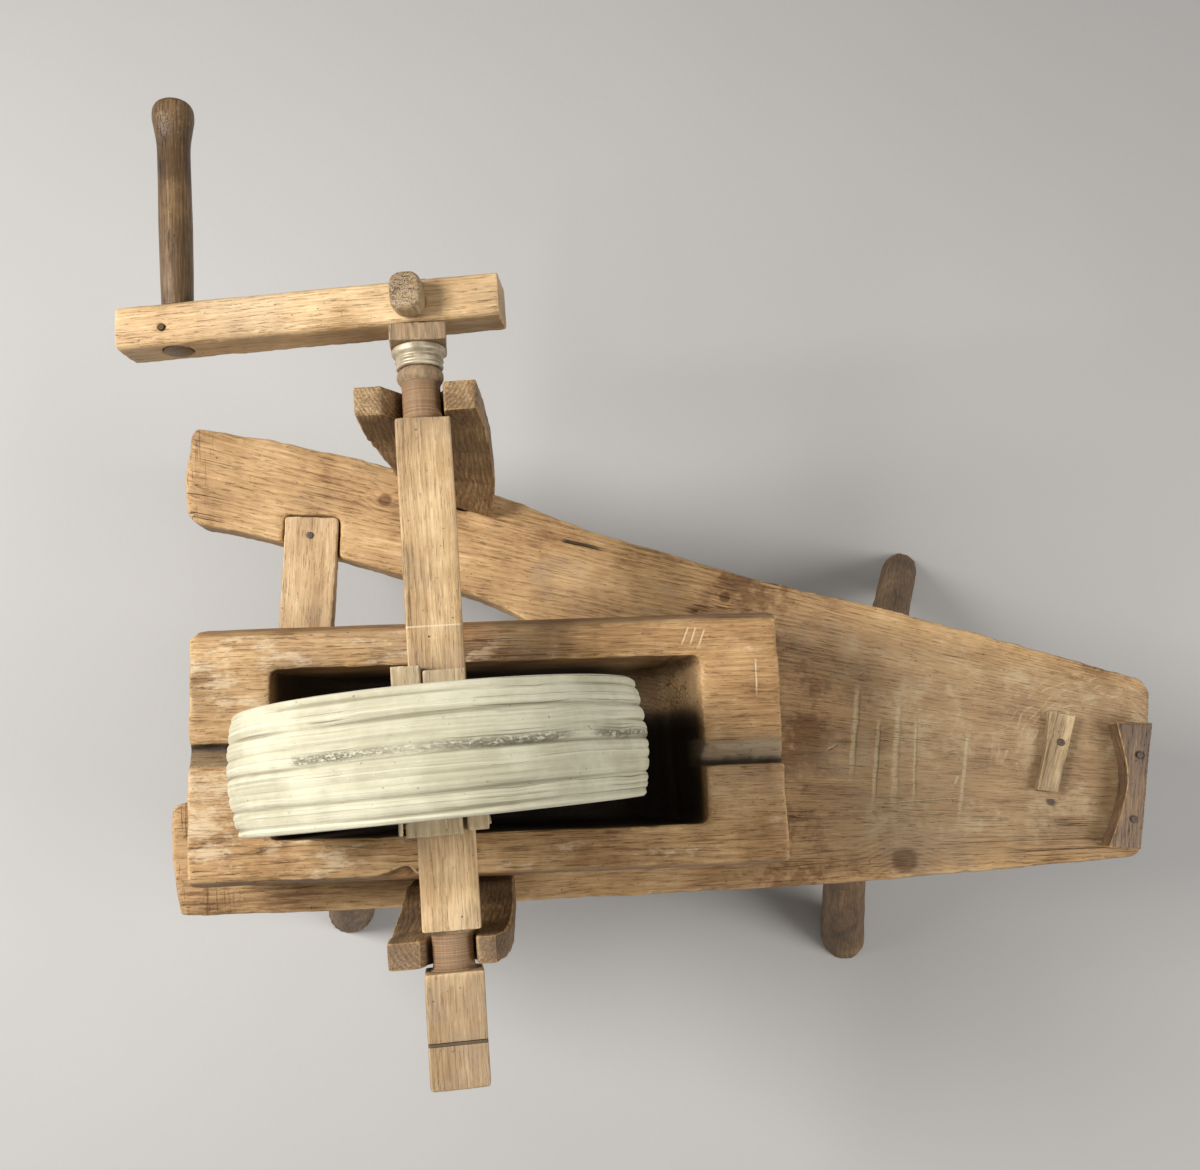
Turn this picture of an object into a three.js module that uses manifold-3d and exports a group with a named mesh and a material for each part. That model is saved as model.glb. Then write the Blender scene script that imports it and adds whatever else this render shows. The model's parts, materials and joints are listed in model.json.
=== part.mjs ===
// Hand-cranked grindstone on a low forked bench.
//
// A thick Y-forked plank on four splayed legs carries a dug-out water trough. Two forked posts, one on
// each arm of the plank, hold a square timber axle over the trough. A crowned sandstone wheel is wedged
// on the axle, and a wooden crank with a turned handle is keyed on its end.
//
// Millimetres, +Z up. X runs along the bench towards the seat, and Y runs along the axle towards the
// crank. While the pieces are made, X = Y = 0 is the middle of the stone and Z = 0 is the floor. The
// last lines move everything so that the origin is the middle of the whole object's base.
import * as THREE from 'three';
import { mergeVertices } from 'three/addons/utils/BufferGeometryUtils.js';
import Module from 'manifold-3d';

const wasm = await Module();
wasm.setup();

// ---- Clearances ----
const FIT_GAP = 0.3; // between pieces that touch
const RUNNING_GAP = 0.8; // round an axle journal in its fork
const END_PLAY = 3; // between a fork and the axle's shoulders
const RIM_CLEARANCE = 12; // least space between the stone's rim and the trough's floor

// ---- Bench ----
const BENCH_HEIGHT = 430; // floor to the slab's top
const SLAB_THICKNESS = 56;
const SEAT_REACH = 860; // axle to the seat's end
const FORK_REACH = 350; // axle to the tips of the two arms
const SEAT_CORNER_RADIUS = 16;
const ARM_WIDTH = 124; // of the arm on the crank side

// ---- Axle, forks and posts ----
const AXLE_SIDE = 58;
const JOURNAL_RADIUS = 21;
const CRANK_FORK_Y = 348; // inner face of the fork on the crank side
const FREE_FORK_GAP = 39; // from the trough's long side to the inner face of the other fork
const CRANK_FORK_THICKNESS = 33;
const FREE_FORK_THICKNESS = 28;
const PRONG_RISE = 22; // prong tops above the axle's centre line
const POST_LEAN = 31; // how far a post's foot stands in from its fork
const AXLE_END_LENGTH = 107; // square block beyond the free fork
const SCORE_DEPTH = 1.5;
const SCORE_WIDTH = 3;
const BEAD_RADIUS = 26;
const BEAD_LENGTH = 16;
const FERRULE_RADIUS = 28;
const FERRULE_LENGTH = 22;
const NECK_RADIUS = 19;
const COLLAR_SIDE = 60;
const COLLAR_LENGTH = 21;
const TENON_SIDE = 30; // axle tenon inside the crank arm

// ---- Stone ----
const STONE_RADIUS = 205;
const STONE_THICKNESS = 114;
const STONE_CROWN = 8; // how much smaller the radius is at the stone's two edges
const RIB_COUNT = 9; // worn ribs round the rim
const RIB_DEPTH = 2.4;
const STONE_SKEW = 1.4; // degrees off square to the axle
const EYE_ROOM = 32; // how much wider than the axle the stone's eye is
const WEDGE_INNER_THICKNESS = 5;

// ---- Trough ----
const TROUGH_TOP = 107; // axle's centre line down to the trough's top
const TROUGH_FLOOR = 53;
const TROUGH_TURN = -2.3; // degrees
const TROUGH_SHIFT = 10; // its middle from the stone's middle, along the axle
const ROOM_BEHIND = 18.6; // from the rim to the hollow's end at the arms, level with the trough's top
const ROOM_AHEAD = 98.6; // and to the end at the seat
const ROOM_BESIDE = 66; // how much wider than the stone the hollow is
const LONG_WALL = 41;
const END_WALL = 88; // thickness of the end walls at the top
const WALL_DRAFT = 7; // how much the hollow's long walls close in towards its floor

// ---- Crank ----
const AXLE_ROLL = 4.5; // degrees, how far the square axle is off upright at rest
const CRANK_TURN = -11.5; // degrees, the crank's tenon from the axle's square
const CRANK_RADIUS = 258;
const ARM_BEYOND_HANDLE = 60;
const ARM_BEYOND_AXLE = 92;
const ARM_HEIGHT = 50;
const ARM_THICKNESS = 48;
const ARM_SWEEP = 6; // how much the arm's tip stands outwards of square to the axle
const ARM_CHAMFER = 4.5;
const HANDLE_LENGTH = 239;
const HANDLE_RADIUS = 18;
const KNOB_RADIUS = 23;
const HANDLE_TENON_RADIUS = 15;
const PIN_RADIUS = 3.5;
const PIN_OFFSET = 8; // pin beside the handle's axis
const PIN_END = 12; // from the arm's underside up to the pin's lower end
const PIN_PROUD = 0.8;
const KEY_WIDTH = 22;
const KEY_THICKNESS = 14;
const KEY_BELOW = 22; // how far the key stands out below the arm
const KEY_HEAD = [34, 42, 30];
const KEY_ROUND = 9;
const KEY_BEVEL = 8;

// ---- Legs, brace and small pieces ----
const TENON_RADIUS = 18; // leg tenons
const TENON_DEPTH = 40;
const LEG_TOP_RADIUS = 26;
const LEG_INSET = 37; // leg sockets in from the slab's edge
const BRACE_WIDTH = 66;
const BRACE_THICKNESS = 22;
const POST_TENON_WIDTH = 62;
const POST_TENON_THICKNESS = 16;
const POST_WEDGE_THICKNESS = 4;
const POST_WEDGE_DEPTH = 26;
const NAIL_RADIUS = 2.2;
const NAIL_HEAD_RADIUS = 5;
const NAIL_HEAD_HEIGHT = 2.4;
const END_CLEAT_HEIGHT = 28;
const END_CLEAT_WIDTH = 46;
const SMALL_CLEAT_HEIGHT = 12;

const ROUND_SIDES = 24;
const STONE_SIDES = 48;
const LONG = 3000; // longer than anything here, for cutting tools

const slabUnderside = BENCH_HEIGHT - SLAB_THICKNESS;
const axleHeight = STONE_RADIUS + RIM_CLEARANCE + TROUGH_FLOOR; // above the slab's top
const axleZ = BENCH_HEIGHT + axleHeight;
const troughHeight = axleHeight - TROUGH_TOP - FIT_GAP;
const hollowDepth = STONE_RADIUS + RIM_CLEARANCE - TROUGH_TOP;
const rimReach = Math.sqrt(STONE_RADIUS ** 2 - TROUGH_TOP ** 2); // where the rim passes the trough's top
const hollowLength = 2 * rimReach + ROOM_BEHIND + ROOM_AHEAD;
const hollowWidth = STONE_THICKNESS + ROOM_BESIDE;
const troughLength = hollowLength + 2 * END_WALL;
const troughWidth = hollowWidth + 2 * LONG_WALL;
const troughCentre = [(ROOM_AHEAD - ROOM_BEHIND) / 2, TROUGH_SHIFT];
const freeForkY = -troughWidth / 2 - FREE_FORK_GAP;
const eyeSide = AXLE_SIDE + EYE_ROOM;
const skew = THREE.MathUtils.degToRad(STONE_SKEW);

const oak = { color: 0x9a6f43, roughness: 0.75, metalness: 0 };
const paleOak = { color: 0xb98b58, roughness: 0.7, metalness: 0 };
const darkOak = { color: 0x6b4a2d, roughness: 0.7, metalness: 0 };
const polishedWood = { color: 0x7d5a38, roughness: 0.5, metalness: 0 };
const sandstone = { color: 0xc3bd9e, roughness: 0.9, metalness: 0 };
const pewter = { color: 0xa9a68f, roughness: 0.45, metalness: 0.4 };
const iron = { color: 0x3c332c, roughness: 0.6, metalness: 0.8 };

// ---- Solids ----
// A closed three.js geometry as a solid that can be joined and cut.
function solid(geometry) {
  const bare = geometry.clone();
  bare.deleteAttribute('normal');
  bare.deleteAttribute('uv');
  const merged = mergeVertices(bare, 1e-3);
  const vertProperties = Float32Array.from(merged.attributes.position.array);
  const triVerts = Uint32Array.from(merged.index.array);
  return new wasm.Manifold(new wasm.Mesh({ numProp: 3, vertProperties, triVerts }));
}

function geometryOf(body) {
  const mesh = body.getMesh();
  const geometry = new THREE.BufferGeometry();
  geometry.setAttribute('position', new THREE.BufferAttribute(mesh.vertProperties, 3));
  geometry.setIndex(new THREE.BufferAttribute(mesh.triVerts, 1));
  geometry.computeVertexNormals();
  return geometry;
}

function node(name, finish, body, parent) {
  const geometry = body.isBufferGeometry ? body : geometryOf(body);
  const mesh = new THREE.Mesh(geometry, new THREE.MeshStandardMaterial(finish));
  mesh.name = name;
  parent.add(mesh);
  return mesh;
}

// A box between two corners.
function boxGeometry(low, high) {
  const size = high.map((value, axis) => value - low[axis]);
  const geometry = new THREE.BoxGeometry(...size);
  return geometry.translate(...low.map((value, axis) => value + size[axis] / 2));
}

// An outline in X and Y raised from one height to another.
function prismGeometry(outline, bottom, top) {
  const isShape = outline instanceof THREE.Shape;
  const shape = isShape ? outline : new THREE.Shape(outline.map(([x, y]) => new THREE.Vector2(x, y)));
  const settings = { depth: top - bottom, bevelEnabled: false, curveSegments: 6 };
  return new THREE.ExtrudeGeometry(shape, settings).translate(0, 0, bottom);
}

// An outline in X and Z, extruded along Y.
function acrossGeometry(outline, from, to) {
  return prismGeometry(outline, -to, -from).rotateX(Math.PI / 2);
}

// An outline in Y and Z, extruded along X.
function alongGeometry(outline, from, to) {
  return prismGeometry(outline, from, to).rotateX(Math.PI / 2).rotateZ(Math.PI / 2);
}

// A turned shape round the Y axis, from its [radius, y] profile.
function turnedGeometry(profile, sides = ROUND_SIDES) {
  return new THREE.LatheGeometry(profile.map(([radius, y]) => new THREE.Vector2(radius, y)), sides);
}

// A round bar between two points, with a radius at each end.
function barGeometry(from, to, fromRadius, toRadius, sides = ROUND_SIDES) {
  const start = new THREE.Vector3(...from);
  const end = new THREE.Vector3(...to);
  const length = start.distanceTo(end);
  const geometry = new THREE.CylinderGeometry(toRadius, fromRadius, length, sides);
  const direction = end.clone().sub(start).normalize();
  const turn = new THREE.Quaternion().setFromUnitVectors(new THREE.Vector3(0, 1, 0), direction);
  geometry.applyQuaternion(turn);
  return geometry.translate(...start.add(end).divideScalar(2).toArray());
}

// Moves each vertex of a geometry by a function of its place.
function reshape(geometry, move) {
  const position = geometry.attributes.position;
  const point = new THREE.Vector3();
  for (let index = 0; index < position.count; index++) {
    point.fromBufferAttribute(position, index);
    move(point);
    position.setXYZ(index, point.x, point.y, point.z);
  }
  geometry.computeVertexNormals();
  return geometry;
}

// The value at x on a line through [x, value] points.
function along(points, x) {
  const last = points.length - 1;
  const found = points.findIndex(([place]) => place >= x);
  const end = found < 0 ? last : Math.max(found, 1);
  const [x0, y0] = points[end - 1];
  const [x1, y1] = points[end];
  return y0 + ((y1 - y0) * (x - x0)) / (x1 - x0);
}

const root = new THREE.Group();
const bench = new THREE.Group();
const rotor = new THREE.Group();
const crank = new THREE.Group();
root.add(bench, rotor);
rotor.add(crank);

// ---- Slab outline ----
// The slab's edges pass under the two posts, so their places come from the forks.
const crankFootY = CRANK_FORK_Y - POST_LEAN;
const crankEdgeAtAxle = crankFootY + CRANK_FORK_THICKNESS + 4;
const freeFootY = freeForkY + POST_LEAN + 7;
const freeEdgeAtAxle = freeForkY + 4;

// Shares of a reach along X, and of the edge's distance from the stone's middle along Y.
const onBench = (edge) => ([x, y]) => [x * (x < 0 ? FORK_REACH : SEAT_REACH), y * edge];
const crankEdge = [
  [-0.89, 1.255], [-0.61, 1.19], [-0.24, 1.08], [0.07, 0.94], [0.19, 0.8], [0.42, 0.585], [0.66, 0.397],
  [0.88, 0.205], [1, 0.1],
].map(onBench(crankEdgeAtAxle));
const freeEdge = [
  [-0.98, 0.92], [-0.5, 0.97], [0, 1], [0.2, 1.035], [0.5, 1.075], [0.73, 1.075], [0.94, 1.065],
].map(onBench(freeEdgeAtAxle));
const innerEdge = crankEdge.slice(0, 4).map(([x, y]) => [x, y - ARM_WIDTH - 0.06 * (x + FORK_REACH)]);
const crotch = [0.27 * SEAT_REACH, 0.17 * crankEdgeAtAxle];
const freeArmInner = [[-FORK_REACH, -0.06 * crankEdgeAtAxle], [-0.3 * FORK_REACH, 0.04 * crankEdgeAtAxle]];

function slabOutline() {
  const vector = ([x, y]) => new THREE.Vector2(x, y);
  const shape = new THREE.Shape();
  const [crankTip] = crankEdge;
  const [freeTip] = freeEdge;
  const seatCrank = crankEdge.at(-1);
  const seatFree = freeEdge.at(-1);
  shape.moveTo(...freeTip);
  shape.splineThru(freeEdge.slice(1).map(vector));
  shape.lineTo(seatFree[0] + SEAT_CORNER_RADIUS / 2, seatFree[1] + SEAT_CORNER_RADIUS);
  shape.lineTo(seatCrank[0] - SEAT_CORNER_RADIUS / 4, seatCrank[1] - SEAT_CORNER_RADIUS);
  shape.lineTo(seatCrank[0] - SEAT_CORNER_RADIUS, seatCrank[1] + SEAT_CORNER_RADIUS / 3);
  shape.splineThru(crankEdge.slice(0, -1).reverse().map(vector));
  shape.lineTo(crankTip[0] - 13, crankTip[1] - 60);
  shape.lineTo(crankTip[0] - 12, crankTip[1] - ARM_WIDTH + 13);
  shape.lineTo(...innerEdge[0]);
  shape.splineThru([...innerEdge.slice(1), crotch].map(vector));
  shape.splineThru([...freeArmInner].reverse().map(vector));
  shape.lineTo(freeTip[0] - 8, freeTip[1] + 70);
  shape.lineTo(...freeTip);
  return shape;
}

// ---- Legs ----
// Each leg: where its socket is along the bench, the edge it stands in from and how far, how far its foot
// splays, and its radius there.
const fromCrankEdge = { edge: crankEdge, inward: -1 };
const fromFreeEdge = { edge: freeEdge, inward: 1 };
const legs = [
  { name: 'leg_seat_crank_side', x: 0.63 * SEAT_REACH, ...fromCrankEdge, splay: [141, 150], foot: 30 },
  { name: 'leg_seat_free_side', x: 0.54 * SEAT_REACH, ...fromFreeEdge, splay: [64, -151], foot: 36 },
  { name: 'leg_fork_free_side', x: -0.41 * FORK_REACH, ...fromFreeEdge, splay: [-69, -69], foot: 37 },
  {
    name: 'leg_fork_crank_side', x: -0.7 * FORK_REACH, ...fromCrankEdge, inset: ARM_WIDTH / 2,
    splay: [-95, 108], foot: 34,
  },
];

function makeLeg({ name, x, edge, inward, splay, foot, inset = LEG_INSET }) {
  const socket = [x, along(edge, x) + inward * inset, slabUnderside];
  const footPoint = [socket[0] + splay[0], socket[1] + splay[1], 0];
  const share = (z) => (slabUnderside - z) / slabUnderside;
  const slope = (z) => socket.map((value, axis) => value + (footPoint[axis] - value) * share(z));
  const body = solid(barGeometry(slope(-40), slope(slabUnderside + 40), foot, LEG_TOP_RADIUS, 20));
  const between = solid(boxGeometry([-LONG, -LONG, 0], [LONG, LONG, slabUnderside - FIT_GAP]));
  const tenon = (extra) => {
    const radius = TENON_RADIUS + extra;
    const top = slope(slabUnderside + TENON_DEPTH + extra);
    return solid(barGeometry(slope(slabUnderside - 40), top, radius, radius, 16));
  };
  node(name, darkOak, body.intersect(between).add(tenon(0)), bench);
  return tenon(FIT_GAP);
}

// ---- Nails ----
function makeNail(name, [x, y], top, length) {
  const tip = [x, y, top - length];
  const shank = solid(barGeometry(tip, [x, y, top + 1], NAIL_RADIUS / 2, NAIL_RADIUS, 10));
  const headTop = [x, y, top + NAIL_HEAD_HEIGHT];
  const head = barGeometry([x, y, top + FIT_GAP], headTop, NAIL_HEAD_RADIUS, NAIL_HEAD_RADIUS * 0.7, 12);
  node(name, iron, shank.add(solid(head)), bench);
  const hole = NAIL_RADIUS + FIT_GAP;
  return solid(barGeometry([x, y, top - length - FIT_GAP], [x, y, top + 1], hole, hole, 10));
}

// ---- Brace ----
// A straight board between the arms, let in flush with the slab's top.
const braceFrom = [-0.48 * FORK_REACH, along(crankEdge, -0.48 * FORK_REACH) - 90];
const braceTo = [-0.58 * FORK_REACH, freeArmInner[1][1] - 60];

function braceSolid(extra) {
  const [dx, dy] = [braceTo[0] - braceFrom[0], braceTo[1] - braceFrom[1]];
  const length = Math.hypot(dx, dy);
  const half = BRACE_WIDTH / 2 + extra;
  const top = extra ? 1 : 0;
  const board = boxGeometry([-extra, -half, -BRACE_THICKNESS - extra], [length + extra, half, top]);
  board.rotateZ(Math.atan2(dy, dx));
  return solid(board.translate(braceFrom[0], braceFrom[1], BENCH_HEIGHT));
}

// ---- Posts ----
// A post is its front outline cut through its side profile, then swung so that its foot follows the slab's
// edge while its fork stays square to the axle.
const forkReliefBelow = -60; // height where the twist starts, under the journal

// The fork's opening: round under the journal, then straight up to a mouth that is wider on one side.
function notchOutline(slack) {
  const radius = JOURNAL_RADIUS + RUNNING_GAP;
  const mouth = [-radius - slack, PRONG_RISE + 10];
  const leave = Math.atan2(mouth[1], mouth[0]) + Math.acos(radius / Math.hypot(...mouth));
  const shape = new THREE.Shape();
  shape.moveTo(radius + 2, mouth[1]);
  shape.lineTo(radius, 0);
  shape.absarc(0, 0, radius, 0, leave - 2 * Math.PI, true);
  shape.lineTo(...mouth);
  return shape;
}

function makePost({ name, finish, front, profile, slack, twist, tenonAt, tenonTurn, wedgeName }) {
  const outline = solid(acrossGeometry(front, -LONG / 2, LONG / 2));
  const side = solid(alongGeometry(profile, -LONG / 2, LONG / 2));
  const notch = solid(acrossGeometry(notchOutline(slack), -LONG / 2, LONG / 2));
  const body = geometryOf(outline.intersect(side).subtract(notch));
  reshape(body, (point) => {
    const drop = Math.min(0, point.z - forkReliefBelow) / (axleHeight + forkReliefBelow);
    point.y += point.x * twist * drop;
  });
  body.translate(0, 0, axleZ);

  // A tenon down through the slab, spread by a wedge from below.
  const place = (geometry) => solid(geometry.rotateZ(tenonTurn).translate(...tenonAt, 0));
  const tenonBox = (extra) => boxGeometry(
    [-POST_TENON_WIDTH / 2 - extra, -POST_TENON_THICKNESS / 2 - extra, slabUnderside - extra],
    [POST_TENON_WIDTH / 2 + extra, POST_TENON_THICKNESS / 2 + extra, BENCH_HEIGHT + 12],
  );
  const wedgeHalf = [POST_WEDGE_THICKNESS / 2, POST_TENON_THICKNESS / 2 - 1];
  const wedgeBox = (extra) => boxGeometry(
    [-wedgeHalf[0] - extra, -wedgeHalf[1] - extra, slabUnderside - 1],
    [wedgeHalf[0] + extra, wedgeHalf[1] + extra, slabUnderside + POST_WEDGE_DEPTH + extra],
  );
  node(name, finish, solid(body).add(place(tenonBox(0))).subtract(place(wedgeBox(FIT_GAP))), bench);
  node(wedgeName, paleOak, place(wedgeBox(0)), bench);
  return place(tenonBox(FIT_GAP));
}

const footZ = -axleHeight + FIT_GAP;
const crankPost = {
  name: 'crank_side_post',
  finish: oak,
  front: [[-50, footZ], [57, footZ], [65, -190], [66, -110], [62, -30], [59, PRONG_RISE], [-69, PRONG_RISE],
    [-68, -60], [-62, -150]],
  profile: [[crankFootY, footZ], [CRANK_FORK_Y - 14, -190], [CRANK_FORK_Y - 5, -110], [CRANK_FORK_Y, -45],
    [CRANK_FORK_Y, PRONG_RISE], [CRANK_FORK_Y + CRANK_FORK_THICKNESS, PRONG_RISE],
    [CRANK_FORK_Y + CRANK_FORK_THICKNESS, -45], [CRANK_FORK_Y + CRANK_FORK_THICKNESS - 3, -110],
    [CRANK_FORK_Y + CRANK_FORK_THICKNESS - 12, -190], [crankEdgeAtAxle, footZ]],
  slack: 22,
  twist: 0.36,
  tenonAt: [3, crankFootY + 13],
  tenonTurn: -0.345,
  wedgeName: 'crank_post_wedge',
};
const freePost = {
  name: 'free_side_post',
  finish: oak,
  front: [[-66, footZ], [54, footZ], [56, -100], [52, -8], [43, PRONG_RISE], [-61, PRONG_RISE], [-65, -10],
    [-69, -110]],
  profile: [[freeFootY, footZ], [freeFootY - 2, -205], [freeForkY + 10, -122], [freeForkY + 1, -60],
    [freeForkY, PRONG_RISE], [freeForkY - FREE_FORK_THICKNESS, PRONG_RISE],
    [freeForkY - FREE_FORK_THICKNESS, -60], [freeForkY - FREE_FORK_THICKNESS + 8, -122],
    [freeEdgeAtAxle - 4, footZ]],
  slack: 9,
  twist: 0.03,
  tenonAt: [-6, freeFootY - 20],
  tenonTurn: 0,
  wedgeName: 'free_post_wedge',
};

// ---- Cleats on the seat ----
function cleatGeometry(corners, waist, bottom, height) {
  const [innerFree, outerFree, outerCrank, innerCrank] = corners;
  const shape = new THREE.Shape();
  shape.moveTo(...innerFree);
  shape.lineTo(...outerFree);
  shape.lineTo(...outerCrank);
  shape.lineTo(...innerCrank);
  const middle = [(innerCrank[0] + innerFree[0]) / 2 + waist, (innerCrank[1] + innerFree[1]) / 2];
  shape.splineThru([new THREE.Vector2(...middle), new THREE.Vector2(...innerFree)]);
  return prismGeometry(shape, bottom, bottom + height);
}

const seatEndX = (y) => {
  const free = freeEdge.at(-1);
  const crank = crankEdge.at(-1);
  return free[0] + ((crank[0] - free[0]) * (y - free[1])) / (crank[1] - free[1]);
};
const cleatLow = freeEdge.at(-1)[1] + 11;
const cleatHigh = cleatLow + 154;
const cleatEdgeGap = 12;
const endCleat = cleatGeometry(
  [
    [seatEndX(cleatLow) - cleatEdgeGap - END_CLEAT_WIDTH + 6, cleatLow + 6],
    [seatEndX(cleatLow) - cleatEdgeGap, cleatLow],
    [seatEndX(cleatHigh) - cleatEdgeGap, cleatHigh - 4],
    [seatEndX(cleatHigh) - cleatEdgeGap - END_CLEAT_WIDTH, cleatHigh],
  ],
  18,
  BENCH_HEIGHT + FIT_GAP,
  END_CLEAT_HEIGHT,
);
const endCleatNails = [cleatLow + 37, cleatHigh - 42].map((y) => [seatEndX(y) - cleatEdgeGap - 13, y]);
const smallCleatFree = [0.8 * SEAT_REACH, 0.52 * freeEdgeAtAxle];
const smallCleat = cleatGeometry(
  [
    smallCleatFree,
    [smallCleatFree[0] + 27, smallCleatFree[1] - 5],
    [smallCleatFree[0] + 62, smallCleatFree[1] + 86],
    [smallCleatFree[0] + 29, smallCleatFree[1] + 94],
  ],
  3,
  BENCH_HEIGHT + FIT_GAP,
  SMALL_CLEAT_HEIGHT,
);
const smallCleatNail = [smallCleatFree[0] + 38, smallCleatFree[1] + 55];
const seatNail = [smallCleatFree[0] + 21, smallCleatFree[1] - 16];
const seatHole = [smallCleatFree[0] + 10, smallCleatFree[1] + 87];

// ---- Bench assembly ----
const braceNails = [
  [braceFrom[0] - 3, braceFrom[1] - 24],
  [braceTo[0] + 2, braceTo[1] + 26],
];
const nailHoles = [
  makeNail('brace_nail_crank_side', braceNails[0], BENCH_HEIGHT, 50),
  makeNail('brace_nail_free_side', braceNails[1], BENCH_HEIGHT - NAIL_HEAD_HEIGHT - FIT_GAP, 46),
  ...endCleatNails.map((place, index) => (
    makeNail(`end_cleat_nail_${index + 1}`, place, BENCH_HEIGHT + END_CLEAT_HEIGHT + FIT_GAP, 66)
  )),
  makeNail('small_cleat_nail', smallCleatNail, BENCH_HEIGHT + SMALL_CLEAT_HEIGHT + FIT_GAP, 44),
  makeNail('seat_nail', seatNail, BENCH_HEIGHT, 40),
];
const headRecess = solid(barGeometry(
  [...braceNails[1], BENCH_HEIGHT - NAIL_HEAD_HEIGHT - FIT_GAP],
  [...braceNails[1], BENCH_HEIGHT + 1],
  NAIL_HEAD_RADIUS + FIT_GAP,
  NAIL_HEAD_RADIUS + FIT_GAP,
  12,
));
const cutAll = (body, tools) => tools.reduce((left, tool) => left.subtract(tool), body);

const slabCuts = [
  braceSolid(FIT_GAP),
  ...legs.map(makeLeg),
  makePost(crankPost),
  makePost(freePost),
  ...nailHoles,
  solid(barGeometry([...seatHole, BENCH_HEIGHT - 30], [...seatHole, BENCH_HEIGHT + 1], 4, 4, 10)),
];
const slab = solid(prismGeometry(slabOutline(), slabUnderside, BENCH_HEIGHT));
node('bench_slab', oak, cutAll(slab, slabCuts), bench);
node('cross_brace', paleOak, cutAll(braceSolid(0), [...nailHoles.slice(0, 2), headRecess]), bench);
node('end_cleat', darkOak, cutAll(solid(endCleat), nailHoles.slice(2, 4)), bench);
node('small_cleat', paleOak, cutAll(solid(smallCleat), nailHoles.slice(4, 5)), bench);

// ---- Trough ----
// A log block with a flat top and round shoulders. Its hollow has sloping ends, and a V-shaped groove is
// cut along the top of each end wall.
function troughSection() {
  const half = troughWidth / 2;
  const top = troughHeight;
  const shape = new THREE.Shape();
  shape.moveTo(-half + 2, 0);
  shape.lineTo(half + 2, 0);
  shape.lineTo(half + 15, 0.3 * top);
  shape.quadraticCurveTo(half + 20, 0.82 * top, half, top);
  shape.lineTo(-half, top);
  shape.quadraticCurveTo(-half - 10, 0.85 * top, -half - 7, 0.3 * top);
  shape.lineTo(-half + 2, 0);
  return shape;
}

function troughHollow() {
  const halfLength = troughLength / 2;
  const left = -halfLength + END_WALL;
  const right = halfLength - END_WALL;
  const floor = troughHeight - hollowDepth;
  const outline = new THREE.Shape();
  outline.moveTo(left, troughHeight + 1);
  outline.quadraticCurveTo(left + 22, floor + 12, left + 112, floor);
  outline.lineTo(right - 82, floor);
  outline.quadraticCurveTo(right - 16, floor + 16, right, troughHeight + 1);
  const middle = 2;
  const hollow = acrossGeometry(outline, middle - hollowWidth / 2, middle + hollowWidth / 2);
  return reshape(hollow, (point) => {
    const depth = (troughHeight - point.z) / hollowDepth;
    point.y -= Math.sign(point.y - middle) * WALL_DRAFT * depth;
  });
}

// A groove with one upright side at [y, top] and its other side sloping up to the opposite edge. It gets
// deeper towards the hollow.
function endGroove(fromX, toX, uprightY, width, depthFrom, depthTo) {
  const top = troughHeight;
  const slopeY = uprightY + width;
  const outline = [[uprightY, top + 1], [uprightY, top - depthFrom], [slopeY, top], [slopeY, top + 1]];
  const groove = alongGeometry(width < 0 ? outline.reverse() : outline, fromX, toX);
  return reshape(groove, (point) => {
    const share = (point.x - fromX) / (toX - fromX);
    if (point.z < top - 1) point.z = top - depthFrom - share * (depthTo - depthFrom);
  });
}

function makeTrough() {
  const half = troughLength / 2;
  const group = new THREE.Group();
  const block = solid(alongGeometry(troughSection(), -half, half));
  const chip = boxGeometry([-28, -9, -9], [28, 9, 9]).rotateX(0.5).rotateZ(0.32);
  chip.translate(-0.34 * half, -troughWidth / 2 - 7, troughHeight - 4);
  const grooves = [
    endGroove(half - END_WALL - 12, half + 1, -26, 27, 24, 13),
    endGroove(-half - 1, -half + END_WALL + 12, 14, -26, 12, 22),
  ];
  const body = cutAll(block, [troughHollow(), ...grooves, chip].map(solid));
  node('trough', paleOak, body, group);
  group.rotation.z = THREE.MathUtils.degToRad(TROUGH_TURN);
  group.position.set(...troughCentre, BENCH_HEIGHT + FIT_GAP);
  bench.add(group);
}

makeTrough();

// ---- Axle ----
// Places along the axle, from the two forks outwards. Its tenon in the crank is turned against its square.
const crankShoulder = CRANK_FORK_Y - END_PLAY - 2;
const freeShoulder = freeForkY + END_PLAY + 2;
const beadFrom = CRANK_FORK_Y + CRANK_FORK_THICKNESS + END_PLAY;
const ferruleFrom = beadFrom + BEAD_LENGTH;
const collarFrom = ferruleFrom + FERRULE_LENGTH + 2 * FIT_GAP;
const crankArmFrom = collarFrom + COLLAR_LENGTH + FIT_GAP;
const crankArmTo = crankArmFrom + ARM_THICKNESS;
const blockFrom = freeForkY - FREE_FORK_THICKNESS - END_PLAY;
const blockTo = blockFrom - AXLE_END_LENGTH;
const scoreY = blockFrom - 0.6 * AXLE_END_LENGTH;

const squareBar = (side, from, to) => (
  solid(boxGeometry([-side / 2, from, -side / 2], [side / 2, to, side / 2]))
);
const journal = (radius, from, to) => solid(barGeometry([0, from, 0], [0, to, 0], radius, radius));

function keySolid(extra) {
  const bottom = -ARM_HEIGHT / 2 - KEY_BELOW - extra;
  const top = ARM_HEIGHT / 2 + FIT_GAP;
  const middle = crankArmFrom + ARM_THICKNESS / 2;
  const half = [KEY_WIDTH / 2 + extra, KEY_THICKNESS / 2 + extra];
  return solid(boxGeometry([-half[0], middle - half[1], bottom], [half[0], middle + half[1], top + 2]));
}

const turnWithCrank = (body) => body.rotate([0, CRANK_TURN, 0]);

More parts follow.
